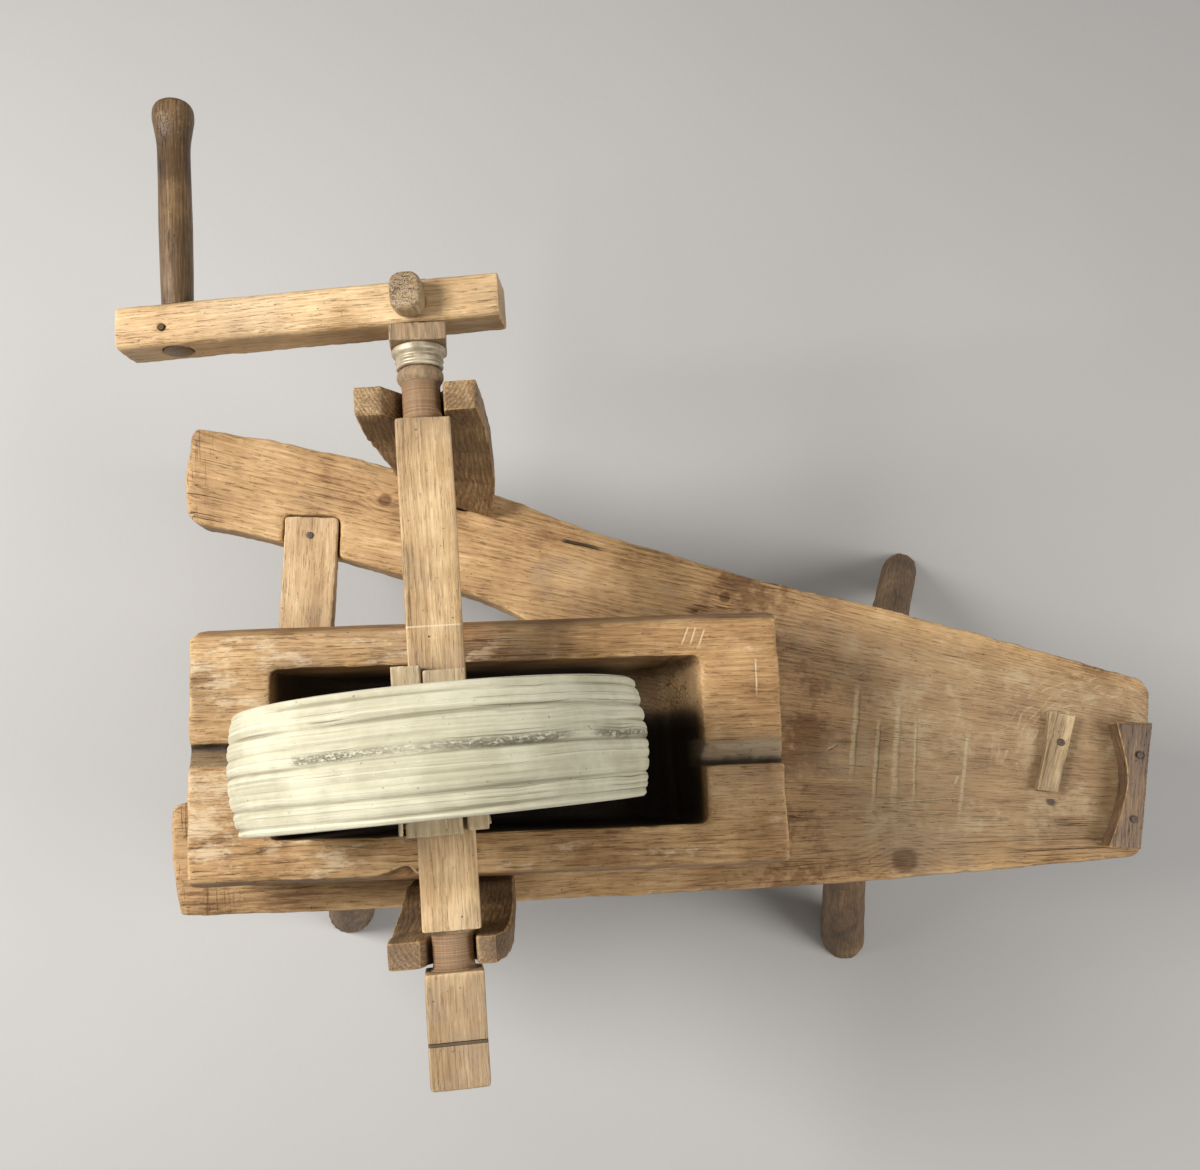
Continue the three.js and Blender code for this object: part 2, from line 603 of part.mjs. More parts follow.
function makeAxle() {
  const bead = turnedGeometry([
    [0, beadFrom - 1], [JOURNAL_RADIUS, beadFrom - 1], [BEAD_RADIUS - 1, beadFrom + 4],
    [BEAD_RADIUS, beadFrom + 8], [BEAD_RADIUS - 1, beadFrom + 12], [BEAD_RADIUS - 3, ferruleFrom],
    [0, ferruleFrom],
  ]);
  const pieces = [
    squareBar(AXLE_SIDE, freeShoulder, crankShoulder),
    journal(JOURNAL_RADIUS, crankShoulder - 1, beadFrom),
    solid(bead),
    journal(NECK_RADIUS, ferruleFrom - 1, collarFrom + 1),
    squareBar(COLLAR_SIDE, collarFrom, collarFrom + COLLAR_LENGTH),
    turnWithCrank(squareBar(TENON_SIDE, collarFrom + 1, crankArmTo + 4)),
    journal(JOURNAL_RADIUS, blockFrom - 1, freeShoulder + 1),
    squareBar(AXLE_SIDE, scoreY + SCORE_WIDTH / 2, blockFrom),
    squareBar(AXLE_SIDE - 2 * SCORE_DEPTH, scoreY - SCORE_WIDTH, scoreY + SCORE_WIDTH),
    squareBar(AXLE_SIDE, blockTo, scoreY - SCORE_WIDTH / 2),
  ];
  const body = pieces.reduce((whole, piece) => whole.add(piece));
  node('axle', oak, body.subtract(turnWithCrank(keySolid(FIT_GAP))), rotor);
}

makeAxle();

// The ferrule on the axle's neck: a flared band over two narrower ridges.
const ferruleProfile = [
  [NECK_RADIUS + FIT_GAP, 0], [24, 0], [25, 2.5], [23.5, 5.5], [25.5, 8.5], [24, 11.5], [FERRULE_RADIUS, 15],
  [FERRULE_RADIUS, FERRULE_LENGTH], [NECK_RADIUS + FIT_GAP, FERRULE_LENGTH], [NECK_RADIUS + FIT_GAP, 0],
];
const ferrule = turnedGeometry(ferruleProfile).translate(0, ferruleFrom + FIT_GAP, 0);
node('neck_ferrule', pewter, solid(ferrule), rotor);

// ---- Stone ----
// Crowned rim with worn ribs. The stone stands a little askew, but its eye is square to the axle.
function stoneProfile() {
  const half = STONE_THICKNESS / 2;
  const crowned = (y) => STONE_RADIUS - STONE_CROWN * (y / half) ** 2;
  const points = [[0, -half]];
  for (let rib = 0; rib < RIB_COUNT; rib++) {
    const from = -half + (rib * STONE_THICKNESS) / RIB_COUNT;
    const pitch = STONE_THICKNESS / RIB_COUNT;
    points.push([crowned(from) - RIB_DEPTH, from]);
    points.push([crowned(from + 0.3 * pitch), from + 0.3 * pitch]);
    points.push([crowned(from + 0.75 * pitch), from + 0.75 * pitch]);
  }
  points.push([crowned(half) - RIB_DEPTH, half], [0, half]);
  return points;
}

const wheel = turnedGeometry(stoneProfile(), STONE_SIDES).rotateZ(skew);
const eye = boxGeometry([-eyeSide / 2, -LONG, -eyeSide / 2], [eyeSide / 2, LONG, eyeSide / 2]);
node('grindstone', sandstone, solid(wheel).subtract(solid(eye)), rotor);

// Wedges between the axle and the eye. Each lies on one side of the axle and is driven in from one face.
const wedgeRoom = (eyeSide - AXLE_SIDE) / 2 - 2 * FIT_GAP;
const eyeHalf = eyeSide / 2 - FIT_GAP;
const sideHalf = AXLE_SIDE / 2 - 1;
const wedges = [
  { name: 'wedge_crank_top_left', side: 0, from: -eyeHalf, to: -14.8, crank: true, proud: 32 },
  { name: 'wedge_crank_top_right', side: 0, from: -14.4, to: 28, crank: true, proud: 27 },
  { name: 'wedge_crank_left', side: 1, from: -sideHalf, to: sideHalf, crank: true, proud: 14 },
  { name: 'wedge_crank_bottom', side: 2, from: -sideHalf, to: sideHalf, crank: true, proud: 20 },
  { name: 'wedge_crank_right', side: 3, from: -sideHalf, to: sideHalf, crank: true, proud: 9 },
  { name: 'wedge_free_top_left', side: 0, from: -38, to: 17, crank: false, proud: 18 },
  { name: 'wedge_free_top_right', side: 0, from: 20, to: eyeHalf - 3, crank: false, proud: 15 },
  { name: 'wedge_free_shim', side: 0, from: -eyeHalf, to: -39.5, crank: false, proud: 16 },
  { name: 'wedge_free_left', side: 1, from: -sideHalf, to: sideHalf, crank: false, proud: 9 },
  { name: 'wedge_free_bottom', side: 2, from: -sideHalf, to: sideHalf, crank: false, proud: 16 },
  { name: 'wedge_free_right', side: 3, from: -sideHalf, to: sideHalf, crank: false, proud: 11 },
];

for (const { name, side, from, to, crank, proud } of wedges) {
  const seat = AXLE_SIDE / 2 + FIT_GAP;
  const outer = STONE_THICKNESS / 2 + proud;
  const inner = 8;
  const innerTop = seat + WEDGE_INNER_THICKNESS;
  const outline = [[inner, seat], [outer, seat], [outer, seat + wedgeRoom], [inner, innerTop]];
  const wedge = alongGeometry(outline, from, to);
  if (!crank) wedge.rotateZ(Math.PI).translate(from + to, 0, 0);
  node(name, paleOak, solid(wedge.rotateY((-side * Math.PI) / 2)), rotor);
}

// ---- Crank ----
// The arm is a little askew: it stands off the collar by a growing gap towards its tip.
const armTip = -CRANK_RADIUS - ARM_BEYOND_HANDLE;
const sweep = (x) => (ARM_SWEEP * (COLLAR_SIDE / 2 - x)) / (COLLAR_SIDE / 2 - armTip);
const armTop = ARM_HEIGHT / 2;

function makeArm(cuts) {
  const [inside, outside] = [crankArmFrom, crankArmTo];
  const outline = [
    [inside, -armTop], [outside - ARM_CHAMFER, -armTop], [outside, -armTop + ARM_CHAMFER],
    [outside, armTop - ARM_CHAMFER], [outside - ARM_CHAMFER, armTop], [inside + ARM_CHAMFER, armTop],
    [inside, armTop - ARM_CHAMFER],
  ];
  const bar = reshape(alongGeometry(outline, armTip, ARM_BEYOND_AXLE), (point) => {
    point.y += sweep(point.x);
  });
  const mortise = squareBar(TENON_SIDE + 2 * FIT_GAP, crankArmFrom - 1, crankArmTo + ARM_SWEEP);
  node('crank_arm', paleOak, cutAll(solid(bar), [mortise, keySolid(FIT_GAP), ...cuts]), crank);
}

// The handle is turned in one piece with its tenon, and a pin down through the arm holds it.
const handleFrom = crankArmFrom + sweep(-CRANK_RADIUS);
const handleShoulder = handleFrom + ARM_THICKNESS + FIT_GAP;
const pinPlace = [-CRANK_RADIUS - PIN_OFFSET, handleFrom + 0.42 * ARM_THICKNESS];
const pinSolid = (extra) => solid(barGeometry(
  [...pinPlace, PIN_END - armTop - extra], [...pinPlace, armTop + PIN_PROUD + extra],
  PIN_RADIUS + extra, PIN_RADIUS + extra, 12,
));

const handleProfile = [
  [0, handleFrom],
  [HANDLE_TENON_RADIUS, handleFrom],
  [HANDLE_TENON_RADIUS, handleShoulder],
  [HANDLE_RADIUS - 1, handleShoulder],
  [HANDLE_RADIUS - 0.5, handleShoulder + 0.15 * HANDLE_LENGTH],
  [HANDLE_RADIUS + 0.5, handleShoulder + 0.45 * HANDLE_LENGTH],
  [HANDLE_RADIUS - 0.5, handleShoulder + 0.7 * HANDLE_LENGTH],
  [HANDLE_RADIUS + 1, handleShoulder + 0.8 * HANDLE_LENGTH],
  [KNOB_RADIUS - 1, handleShoulder + 0.88 * HANDLE_LENGTH],
  [KNOB_RADIUS, handleShoulder + 0.93 * HANDLE_LENGTH],
  [KNOB_RADIUS - 2, handleShoulder + 0.97 * HANDLE_LENGTH],
  [KNOB_RADIUS - 9, handleShoulder + HANDLE_LENGTH],
  [0, handleShoulder + HANDLE_LENGTH],
];
const handle = solid(turnedGeometry(handleProfile).translate(-CRANK_RADIUS, 0, 0));
node('crank_handle', polishedWood, handle.subtract(pinSolid(FIT_GAP)), crank);
node('handle_pin', darkOak, pinSolid(0), crank);

const handleBore = solid(barGeometry(
  [-CRANK_RADIUS, crankArmFrom - 1, 0], [-CRANK_RADIUS, handleShoulder + 2, 0],
  HANDLE_TENON_RADIUS + FIT_GAP, HANDLE_TENON_RADIUS + FIT_GAP,
));
makeArm([handleBore, pinSolid(FIT_GAP)]);

// The key holds the arm on the axle's tenon. Its head is a rounded block above the arm.
function makeKey() {
  const [halfX, halfY] = KEY_HEAD.map((size) => (size - KEY_BEVEL) / 2);
  const shape = new THREE.Shape();
  shape.absarc(halfX - KEY_ROUND, -halfY + KEY_ROUND, KEY_ROUND, -Math.PI / 2, 0);
  shape.absarc(halfX - KEY_ROUND, halfY - KEY_ROUND, KEY_ROUND, 0, Math.PI / 2);
  shape.absarc(-halfX + KEY_ROUND, halfY - KEY_ROUND, KEY_ROUND, Math.PI / 2, Math.PI);
  shape.absarc(-halfX + KEY_ROUND, -halfY + KEY_ROUND, KEY_ROUND, Math.PI, 1.5 * Math.PI);
  const head = new THREE.ExtrudeGeometry(shape, {
    depth: KEY_HEAD[2] - 2 * KEY_BEVEL, bevelThickness: KEY_BEVEL, bevelSize: KEY_BEVEL / 2,
    bevelSegments: 3, curveSegments: 4,
  });
  head.translate(0, crankArmFrom + ARM_THICKNESS / 2, armTop + FIT_GAP + KEY_BEVEL);
  node('crank_key', polishedWood, solid(head).add(keySolid(0)), crank);
}

makeKey();

crank.rotation.y = THREE.MathUtils.degToRad(CRANK_TURN);
rotor.rotation.y = THREE.MathUtils.degToRad(AXLE_ROLL);
rotor.position.z = axleZ;

// ---- Origin: the middle of the whole object's base ----
root.updateMatrixWorld(true);
const bounds = new THREE.Box3().setFromObject(root, true);
const centre = bounds.getCenter(new THREE.Vector3());
root.position.set(-centre.x, -centre.y, -bounds.min.z);
root.updateMatrixWorld(true);

export default root;
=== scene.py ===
"""A hand-cranked grindstone on a forked bench: worn timber, a ribbed sandstone and a few iron nails."""

import json
import math

import bmesh
import bpy
from mathutils import Matrix, Vector, noise

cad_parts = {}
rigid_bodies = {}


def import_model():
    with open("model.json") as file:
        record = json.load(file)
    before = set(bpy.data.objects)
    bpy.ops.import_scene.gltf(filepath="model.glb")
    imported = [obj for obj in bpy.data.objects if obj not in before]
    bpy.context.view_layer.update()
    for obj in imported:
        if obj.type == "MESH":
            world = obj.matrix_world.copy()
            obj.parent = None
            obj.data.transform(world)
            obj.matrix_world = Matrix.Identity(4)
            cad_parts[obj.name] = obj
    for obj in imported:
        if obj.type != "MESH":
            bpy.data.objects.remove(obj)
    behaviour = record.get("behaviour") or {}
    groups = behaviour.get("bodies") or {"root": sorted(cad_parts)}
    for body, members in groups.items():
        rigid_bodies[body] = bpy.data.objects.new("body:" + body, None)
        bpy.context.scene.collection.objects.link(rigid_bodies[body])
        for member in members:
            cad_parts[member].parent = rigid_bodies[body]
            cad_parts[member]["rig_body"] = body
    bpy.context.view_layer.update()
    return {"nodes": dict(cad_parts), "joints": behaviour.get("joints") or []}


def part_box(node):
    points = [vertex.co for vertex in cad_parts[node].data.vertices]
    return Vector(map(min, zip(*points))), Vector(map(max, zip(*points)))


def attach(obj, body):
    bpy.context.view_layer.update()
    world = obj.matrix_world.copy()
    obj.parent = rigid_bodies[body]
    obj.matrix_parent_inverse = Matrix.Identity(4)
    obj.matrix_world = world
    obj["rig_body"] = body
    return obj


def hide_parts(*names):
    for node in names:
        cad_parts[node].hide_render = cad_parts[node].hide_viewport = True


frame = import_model()

hub = Vector(frame["joints"][0]["pos_m"])  # the stone's middle, on the axle
slab_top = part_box("bench_slab")[1].z
trough_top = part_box("trough")[1].z
trough_turn = math.radians(-2.3)
trough_shift = 0.01  # its middle line, towards the crank from the hub
stone_skew = math.radians(1.4)
axle_roll = math.radians(4.5)


# ---- Shaders ----


class Value:
    """A socket in a material. Arithmetic on it adds Math nodes."""

    def __init__(self, paint, socket):
        self.paint = paint
        self.socket = socket

    def __add__(self, other):
        return self.paint.math("ADD", self, other)

    def __sub__(self, other):
        return self.paint.math("SUBTRACT", self, other)

    def __mul__(self, other):
        return self.paint.math("MULTIPLY", self, other)

    def __truediv__(self, other):
        return self.paint.math("DIVIDE", self, other)

    def __rsub__(self, other):
        return self.paint.math("SUBTRACT", other, self)

    def __rtruediv__(self, other):
        return self.paint.math("DIVIDE", other, self)

    def __abs__(self):
        return self.paint.math("ABSOLUTE", self)

    __radd__ = __add__
    __rmul__ = __mul__


class Paint:
    """A material and the means to add nodes to it."""

    def __init__(self, name):
        self.material = bpy.data.materials.new(name)
        self.material.use_nodes = True
        self.tree = self.material.node_tree
        self.shader = self.tree.nodes["Principled BSDF"]
        self.place = self.node("TexCoord", output="Object")

    def node(self, kind, settings=None, inputs=None, output=0):
        made = self.tree.nodes.new("ShaderNode" + kind)
        for key, value in (settings or {}).items():
            setattr(made, key, value)
        for key, value in (inputs or {}).items():
            self.feed(made.inputs[key], value)
        return Value(self, made.outputs[output])

    def feed(self, socket, value):
        if isinstance(value, Value):
            self.tree.links.new(value.socket, socket)
        else:
            socket.default_value = value

    def math(self, operation, *values):
        return self.node("Math", {"operation": operation}, dict(enumerate(values)))

    def larger(self, a, b):
        return self.math("MAXIMUM", a, b)

    def rise(self, value, low, high):
        """0 below low and 1 above high, with a smooth step between them. With low above high it falls."""
        settings = {"interpolation_type": "SMOOTHSTEP"}
        if low < high:
            return self.node("MapRange", settings, {0: value, 1: low, 2: high})
        return self.node("MapRange", settings, {0: value, 1: high, 2: low, 3: 1.0, 4: 0.0})

    def vector(self, operation, a, b, output=0):
        return self.node("VectorMath", {"operation": operation}, {0: a, 1: b}, output)

    def stretch(self, vector, scale):
        return self.vector("MULTIPLY", vector, scale)

    def parts(self, vector):
        made = self.node("SeparateXYZ", inputs={0: vector})
        return [Value(self, socket) for socket in made.socket.node.outputs]

    def joined(self, x, y, z):
        return self.node("CombineXYZ", inputs={0: x, 1: y, 2: z})

    def mottle(self, vector, scale=1.0, detail=2.0, roughness=0.55):
        inputs = {"Vector": vector, "Scale": scale, "Detail": detail, "Roughness": roughness}
        return self.node("TexNoise", inputs=inputs)

    def grain(self, run, along, across, detail, roughness=0.55):
        """A mottle drawn out along X: how fast it changes along it and across it."""
        return self.mottle(self.stretch(run, (along, across, across)), 1, detail, roughness)

    def mix(self, share, a, b, blend="MIX"):
        settings = {"data_type": "RGBA", "blend_type": blend}
        colours = [colour if isinstance(colour, Value) else (*colour, 1) for colour in (a, b)]
        return self.node("Mix", settings, {0: share, 6: colours[0], 7: colours[1]}, 2)

    def turned(self, along, middle):
        """Object coordinates with X along a direction, measured from a point."""
        turn = Vector(along).to_track_quat("X", "Z").inverted()
        shift = turn @ -Vector(middle)
        inputs = {"Vector": self.place, "Location": shift, "Rotation": turn.to_euler()}
        return self.node("Mapping", inputs=inputs)

    def mark(self, name):
        return self.node("Attribute", {"attribute_name": name}, output="Fac")

    def finish(self, colour, roughness, height, depth):
        """Feeds the shader, with a relief as deep as depth where the height goes from 0 to 1."""
        self.feed(self.shader.inputs["Base Color"], colour)
        self.feed(self.shader.inputs["Roughness"], roughness)
        inputs = {"Height": height, "Distance": depth, "Strength": 1.0}
        self.feed(self.shader.inputs["Normal"], self.node("Bump", inputs=inputs))
        return self.material


def on_slab(x, y):
    """A point on the slab's top from its X and Y from the hub."""
    return Vector((hub.x + x, hub.y + y, slab_top))


def stroke(paint, start, end, width, level=slab_top):
    """A long mark on a level surface between two points from the hub, thin at its ends."""
    start, end = (Vector((hub.x + x, hub.y + y, level)) for x, y in (start, end))
    length = (end - start).length
    along, across, _ = paint.parts(paint.turned(end - start, start))
    wobble = (paint.mottle(paint.place, 45, 2) - 0.5) * width
    ends = paint.rise(along, 0, 0.15 * length) * paint.rise(along, length, 0.6 * length)
    return paint.rise(abs(across + wobble), width, 0.2 * width) * ends


def rings_bent(paint, radius, place, knots):
    """The ring radius with the rings swept round each knot, and a mask of the knots."""
    eyes = 0.0
    for spot, size in knots:
        near = paint.vector("DISTANCE", place, spot, "Value")
        radius = radius + paint.rise(near, 3.2 * size, 0) * (0.9 * size)
        eyes = paint.rise(near, size, 0.55 * size) + eyes
    return radius, eyes


def wood(
    name, flow, tones, gap=0.0045, rings=0.4, weather=0.5, rough=0.6, scale=1.0, gloss=0.3, cracked=1.0,
    knots=(), extra=None,
):
    """Timber with growth rings round the X axis of flow, and fibres, pores and checks along it.

    tones are the dark, middle and light colours, gap is the width of a ring, and extra changes the colour and
    the height at the end.
    """
    paint = Paint(name)
    paint.shader.inputs["Specular IOR Level"].default_value = gloss
    run = flow(paint)
    dark, middle, light = tones
    _, across, deep = paint.parts(run)
    drift = (paint.mottle(paint.stretch(run, (3.0, 9, 9)), 1, 2) - 0.5) * 0.03
    radius = paint.math("SQRT", across * across + deep * deep) + drift
    radius, eyes = rings_bent(paint, radius, paint.place, knots)
    ring = paint.math("FRACT", radius / gap + paint.mottle(paint.place, 9, 1))
    late = paint.rise(ring, 0.35, 0.95) * paint.rise(ring, 1.0, 0.93)
    fibre = paint.grain(run, 22 * scale, 480 * scale, 5, 0.75)
    streak = paint.grain(run, 7 * scale, 170 * scale, 4, 0.6)
    band = paint.grain(run, 2.4, 22, 3)
    flecks = paint.rise(paint.grain(run, 34 * scale, 430 * scale, 4, 0.75), 0.56, 0.7)
    pores = paint.rise(paint.grain(run, 38 * scale, 640 * scale, 4, 0.75), 0.56, 0.7)
    checks = paint.rise(abs(paint.grain(run, 1.6, 58, 2) - 0.5), 0.01, 0.003)
    checks = checks * paint.rise(paint.mottle(paint.place, 6.5, 2), 0.55, 0.64) * cracked
    pits = paint.rise(paint.mottle(paint.place, 230, 2), 0.73, 0.77)
    patch = paint.mottle(paint.place, 12, 5, 0.62)
    cloud = paint.mottle(paint.place, 3.4, 4, 0.6)

    tone = streak * 0.18 + fibre * 0.85 + band * 0.5 + patch * 0.85 - late * (0.25 * rings) - 0.665
    colour = paint.mix(paint.rise(tone, 0.2, 0.52), dark, middle)
    colour = paint.mix(paint.rise(tone, 0.48, 0.8), colour, light)
    stain = (0.55, 0.44, 0.33)
    colour = paint.mix(paint.rise(cloud, 0.5, 0.64) * (0.8 * weather), colour, stain, "MULTIPLY")
    grey = tuple(0.45 * sum(middle) / 3 + 0.42 * part for part in middle)
    greyed = paint.rise(paint.mottle(paint.place, 5.2, 4, 0.65), 0.53, 0.66)
    colour = paint.mix(greyed * (0.7 * weather), colour, grey)
    colour = paint.mix(flecks * 0.3, colour, tuple(min(1.0, 1.2 * part) for part in light))
    rub = paint.rise(paint.mark("worn") + (patch - 0.5) * 0.8, 0.3, 0.95)
    colour = paint.mix(rub * 0.45, colour, tuple(min(1.0, 1.25 * part) for part in light))
    # Pores and pits darken the wood, and the corners marked sunk get painted shade.
    pores_and_corner_shade = paint.larger(paint.mark("sunk"), paint.larger(pores * 0.34, pits * 0.85))
    colour = paint.mix(paint.larger(pores_and_corner_shade, checks * 0.85), colour, (0.2, 0.14, 0.1), "MULTIPLY")
    if knots:
        colour = paint.mix(eyes * 0.75, colour, (0.3, 0.2, 0.13), "MULTIPLY")
    height = streak * 0.2 + fibre * 0.55 - late * (0.35 * rings) - pores * 0.5 - checks * 1.6 - pits
    height = height + patch * 1.1
    if extra:
        colour, height = extra(paint, colour, height)
    roughness = rough + (patch - 0.5) * 0.4 - rub * 0.12
    return paint.finish(colour, roughness, height, 0.0011)


def straight(node, axis, heart=(0.0, 0.03, 0.02)):
    """Grain along a long node, with its rings centred to one side of the node's middle."""
    middle, along = lengthways(node, axis)
    return lambda paint: paint.turned(along, middle + Vector(heart))


def slab_edges(x):
    """Where the slab's free-side and crank-side edges are, at a place along it from the hub."""
    return -0.164 - x * 0.019, 0.335 - x * 0.349


def fork_flow(paint):
    """The slab's grain, which follows both of its arms."""
    x, y, z = paint.parts(paint.vector("SUBTRACT", paint.place, hub))
    free_edge, crank_edge = slab_edges(x)
    share = (y - free_edge) / (crank_edge - free_edge)
    heart, mean_width, heart_depth = 0.35, 0.42, 0.4
    return paint.joined(x, (share - heart) * mean_width, z + heart_depth)


# ---- Meshes ----


def lengthways(node, axis):
    """The middle and the direction of a node that is long along X, Y or Z, numbered 0 to 2."""
    points = [vertex.co for vertex in frame["nodes"][node].data.vertices]
    low, high = (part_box(node)[end][axis] for end in (0, 1))
    reach = 0.25 * (high - low)
    ends = [
        [point for point in points if point[axis] < low + reach],
        [point for point in points if point[axis] > high - reach],
    ]
    first, last = (sum(group, Vector()) / len(group) for group in ends)
    return (first + last) / 2, (last - first).normalized()


def add_piece(name, shape, body, material, *nodes):
    mesh = bpy.data.meshes.new(name)
    for face in shape.faces:
        face.smooth = True
    shape.to_mesh(mesh)
    shape.free()
    piece = bpy.data.objects.new(name, mesh)
    bpy.context.scene.collection.objects.link(piece)
    mesh.materials.append(material)
    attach(piece, body)
    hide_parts(*nodes)
    return piece


def even_skin(shape, cell):
    """The shape with small even faces all over it."""
    mesh = bpy.data.meshes.new("skin")
    shape.to_mesh(mesh)
    shape.free()
    carrier = bpy.data.objects.new("skin", mesh)
    bpy.context.scene.collection.objects.link(carrier)
    remesh = carrier.modifiers.new("even", "REMESH")
    remesh.mode = "VOXEL"
    remesh.voxel_size = cell
    graph = bpy.context.evaluated_depsgraph_get()
    skin = bpy.data.meshes.new_from_object(carrier.evaluated_get(graph))
    bpy.data.objects.remove(carrier)
    result = bmesh.new()
    result.from_mesh(skin)
    return result


def rub_edges(shape, cell, passes):
    """Rounds the edges, and marks how much each point was worn away or lies in a corner."""
    worn = shape.verts.layers.float.new("worn")
    sunk = shape.verts.layers.float.new("sunk")
    shape.normal_update()
    before = [(vertex.co.copy(), vertex.normal.copy()) for vertex in shape.verts]
    for _ in range(passes):
        bmesh.ops.smooth_vert(
            shape, verts=shape.verts, factor=0.5, use_axis_x=True, use_axis_y=True, use_axis_z=True
        )
    for vertex, (place, normal) in zip(shape.verts, before):
        gone = (place - vertex.co).dot(normal) / (0.3 * cell)
        vertex[worn] = max(0.0, min(1.0, gone))
        vertex[sunk] = max(0.0, min(1.0, -gone))
    for _ in range(2):
        marks = {vertex: vertex[worn] for vertex in shape.verts}
        for edge in shape.edges:
            for vertex in edge.verts:
                vertex[worn] = max(vertex[worn], 0.62 * marks[edge.other_vert(vertex)])
    return worn


def roughen(shape, along, dents, ridges, nicks, worn, carve=None):
    """Uneven faces, long low ridges with the grain and nicked edges, all cut inwards."""
    shape.normal_update()
    for vertex in shape.verts:
        place = vertex.co
        stretched = place - along * (0.93 * place.dot(along))
        depth = dents * (0.5 + 0.5 * noise.noise(place * 14))
        depth += ridges * (0.5 + 0.5 * noise.noise(stretched * 110))
        depth += ridges * 0.6 * (0.5 + 0.5 * noise.noise(stretched * 260))
        if vertex[worn] > 0.1:
            depth += nicks * vertex[worn] * max(0.0, noise.noise(place * 55) + 0.1)
            depth += 1.4 * nicks * vertex[worn] * max(0.0, noise.noise(place * 19) - 0.08)
        if carve:
            depth += carve(place)
        vertex.co = place - vertex.normal * depth


def worn_piece(node, axis, material, cell, passes=3, dents=0.001, ridges=0.0005, nicks=0.002, carve=None):
    """A CAD node's shape with rubbed edges and uneven faces, standing for the node."""
    shape = bmesh.new()
    shape.from_mesh(frame["nodes"][node].data)
    bmesh.ops.remove_doubles(shape, verts=shape.verts, dist=1e-5)
    shape = even_skin(shape, cell)
    worn = rub_edges(shape, cell, passes)
    roughen(shape, lengthways(node, axis)[1], dents, ridges, nicks, worn, carve)
    body = frame["nodes"][node]["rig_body"]
    return add_piece(f"{node}_worn", shape, body, material, node)


def turned_shape(profile, steps):
    """A turned shape round the Y axis from [radius, y] points, closed if they end on the axis or meet."""
    shape = bmesh.new()
    points = [shape.verts.new((radius, y, 0)) for radius, y in profile]
    edges = [shape.edges.new(pair) for pair in zip(points, points[1:])]
    bmesh.ops.spin(
        shape, geom=points + edges, cent=(0, 0, 0), axis=(0, 1, 0), angle=2 * math.pi, steps=steps,
        use_merge=True,
    )
    bmesh.ops.remove_doubles(shape, verts=shape.verts, dist=1e-6)
    bmesh.ops.recalc_face_normals(shape, faces=shape.faces)
    return shape


def smooth_profile(points, step):
    """More points on a smooth line through [radius, y] points, about a step apart."""
    result = []
    padded = [points[0], *points, points[-1]]
    for a, b, c, d in zip(padded, padded[1:], padded[2:], padded[3:]):
        a, b, c, d = (Vector(point) for point in (a, b, c, d))
        count = max(1, round((c - b).length / step))
        for index in range(count):
            t = index / count
            bend = (c - a) * t + (2 * a - 5 * b + 4 * c - d) * t**2 + (3 * b - a - 3 * c + d) * t**3
            result.append(b + bend / 2)
    return [*result, Vector(points[-1])]


# ---- Stone ----

stone_radius = (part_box("grindstone")[1].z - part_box("grindstone")[0].z) / 2
stone_half = 0.057  # half its thickness
eye_half = 0.045  # half the side of its square eye
# Worn grooves round the rim: place across it, depth and half width.
grooves = [
    (-0.0505, 0.003, 0.0018), (-0.0425, 0.0013, 0.001), (-0.0345, 0.0032, 0.0024), (-0.0265, 0.0008, 0.0008),
    (-0.0195, 0.0022, 0.0016), (-0.0105, 0.0013, 0.001), (-0.002, 0.0034, 0.0018), (0.0065, 0.001, 0.0009),
    (0.0145, 0.0028, 0.0022), (0.0235, 0.0014, 0.0011), (0.031, 0.0034, 0.0025), (0.0405, 0.0011, 0.001),
    (0.049, 0.0024, 0.0017),
]


def rim_cut(angle, y):
    """How deep the rim is worn at an angle round the axle and a place across its width."""
    spin = Vector((math.cos(angle), math.sin(angle), 0))
    deepest = 0.0
    for index, (groove, depth, reach) in enumerate(grooves):
        offset = Vector((0, 0, 9.7 * index))
        line = groove + 0.0022 * noise.noise(spin * 0.9 + offset)
        strength = depth * (1 + 0.9 * noise.noise(spin * 1.7 + offset * 2))
        deepest = max(deepest, strength * math.exp(-abs(y - line) / reach))
    fine = 0.0003 * (0.5 + 0.5 * noise.noise(Vector((spin.x * 1.2, spin.y * 1.2, y * 420))))
    chips = 0.0012 * max(0.0, noise.noise(Vector((spin.x * 14, spin.y * 14, y * 90))) - 0.35)
    return deepest + fine + chips


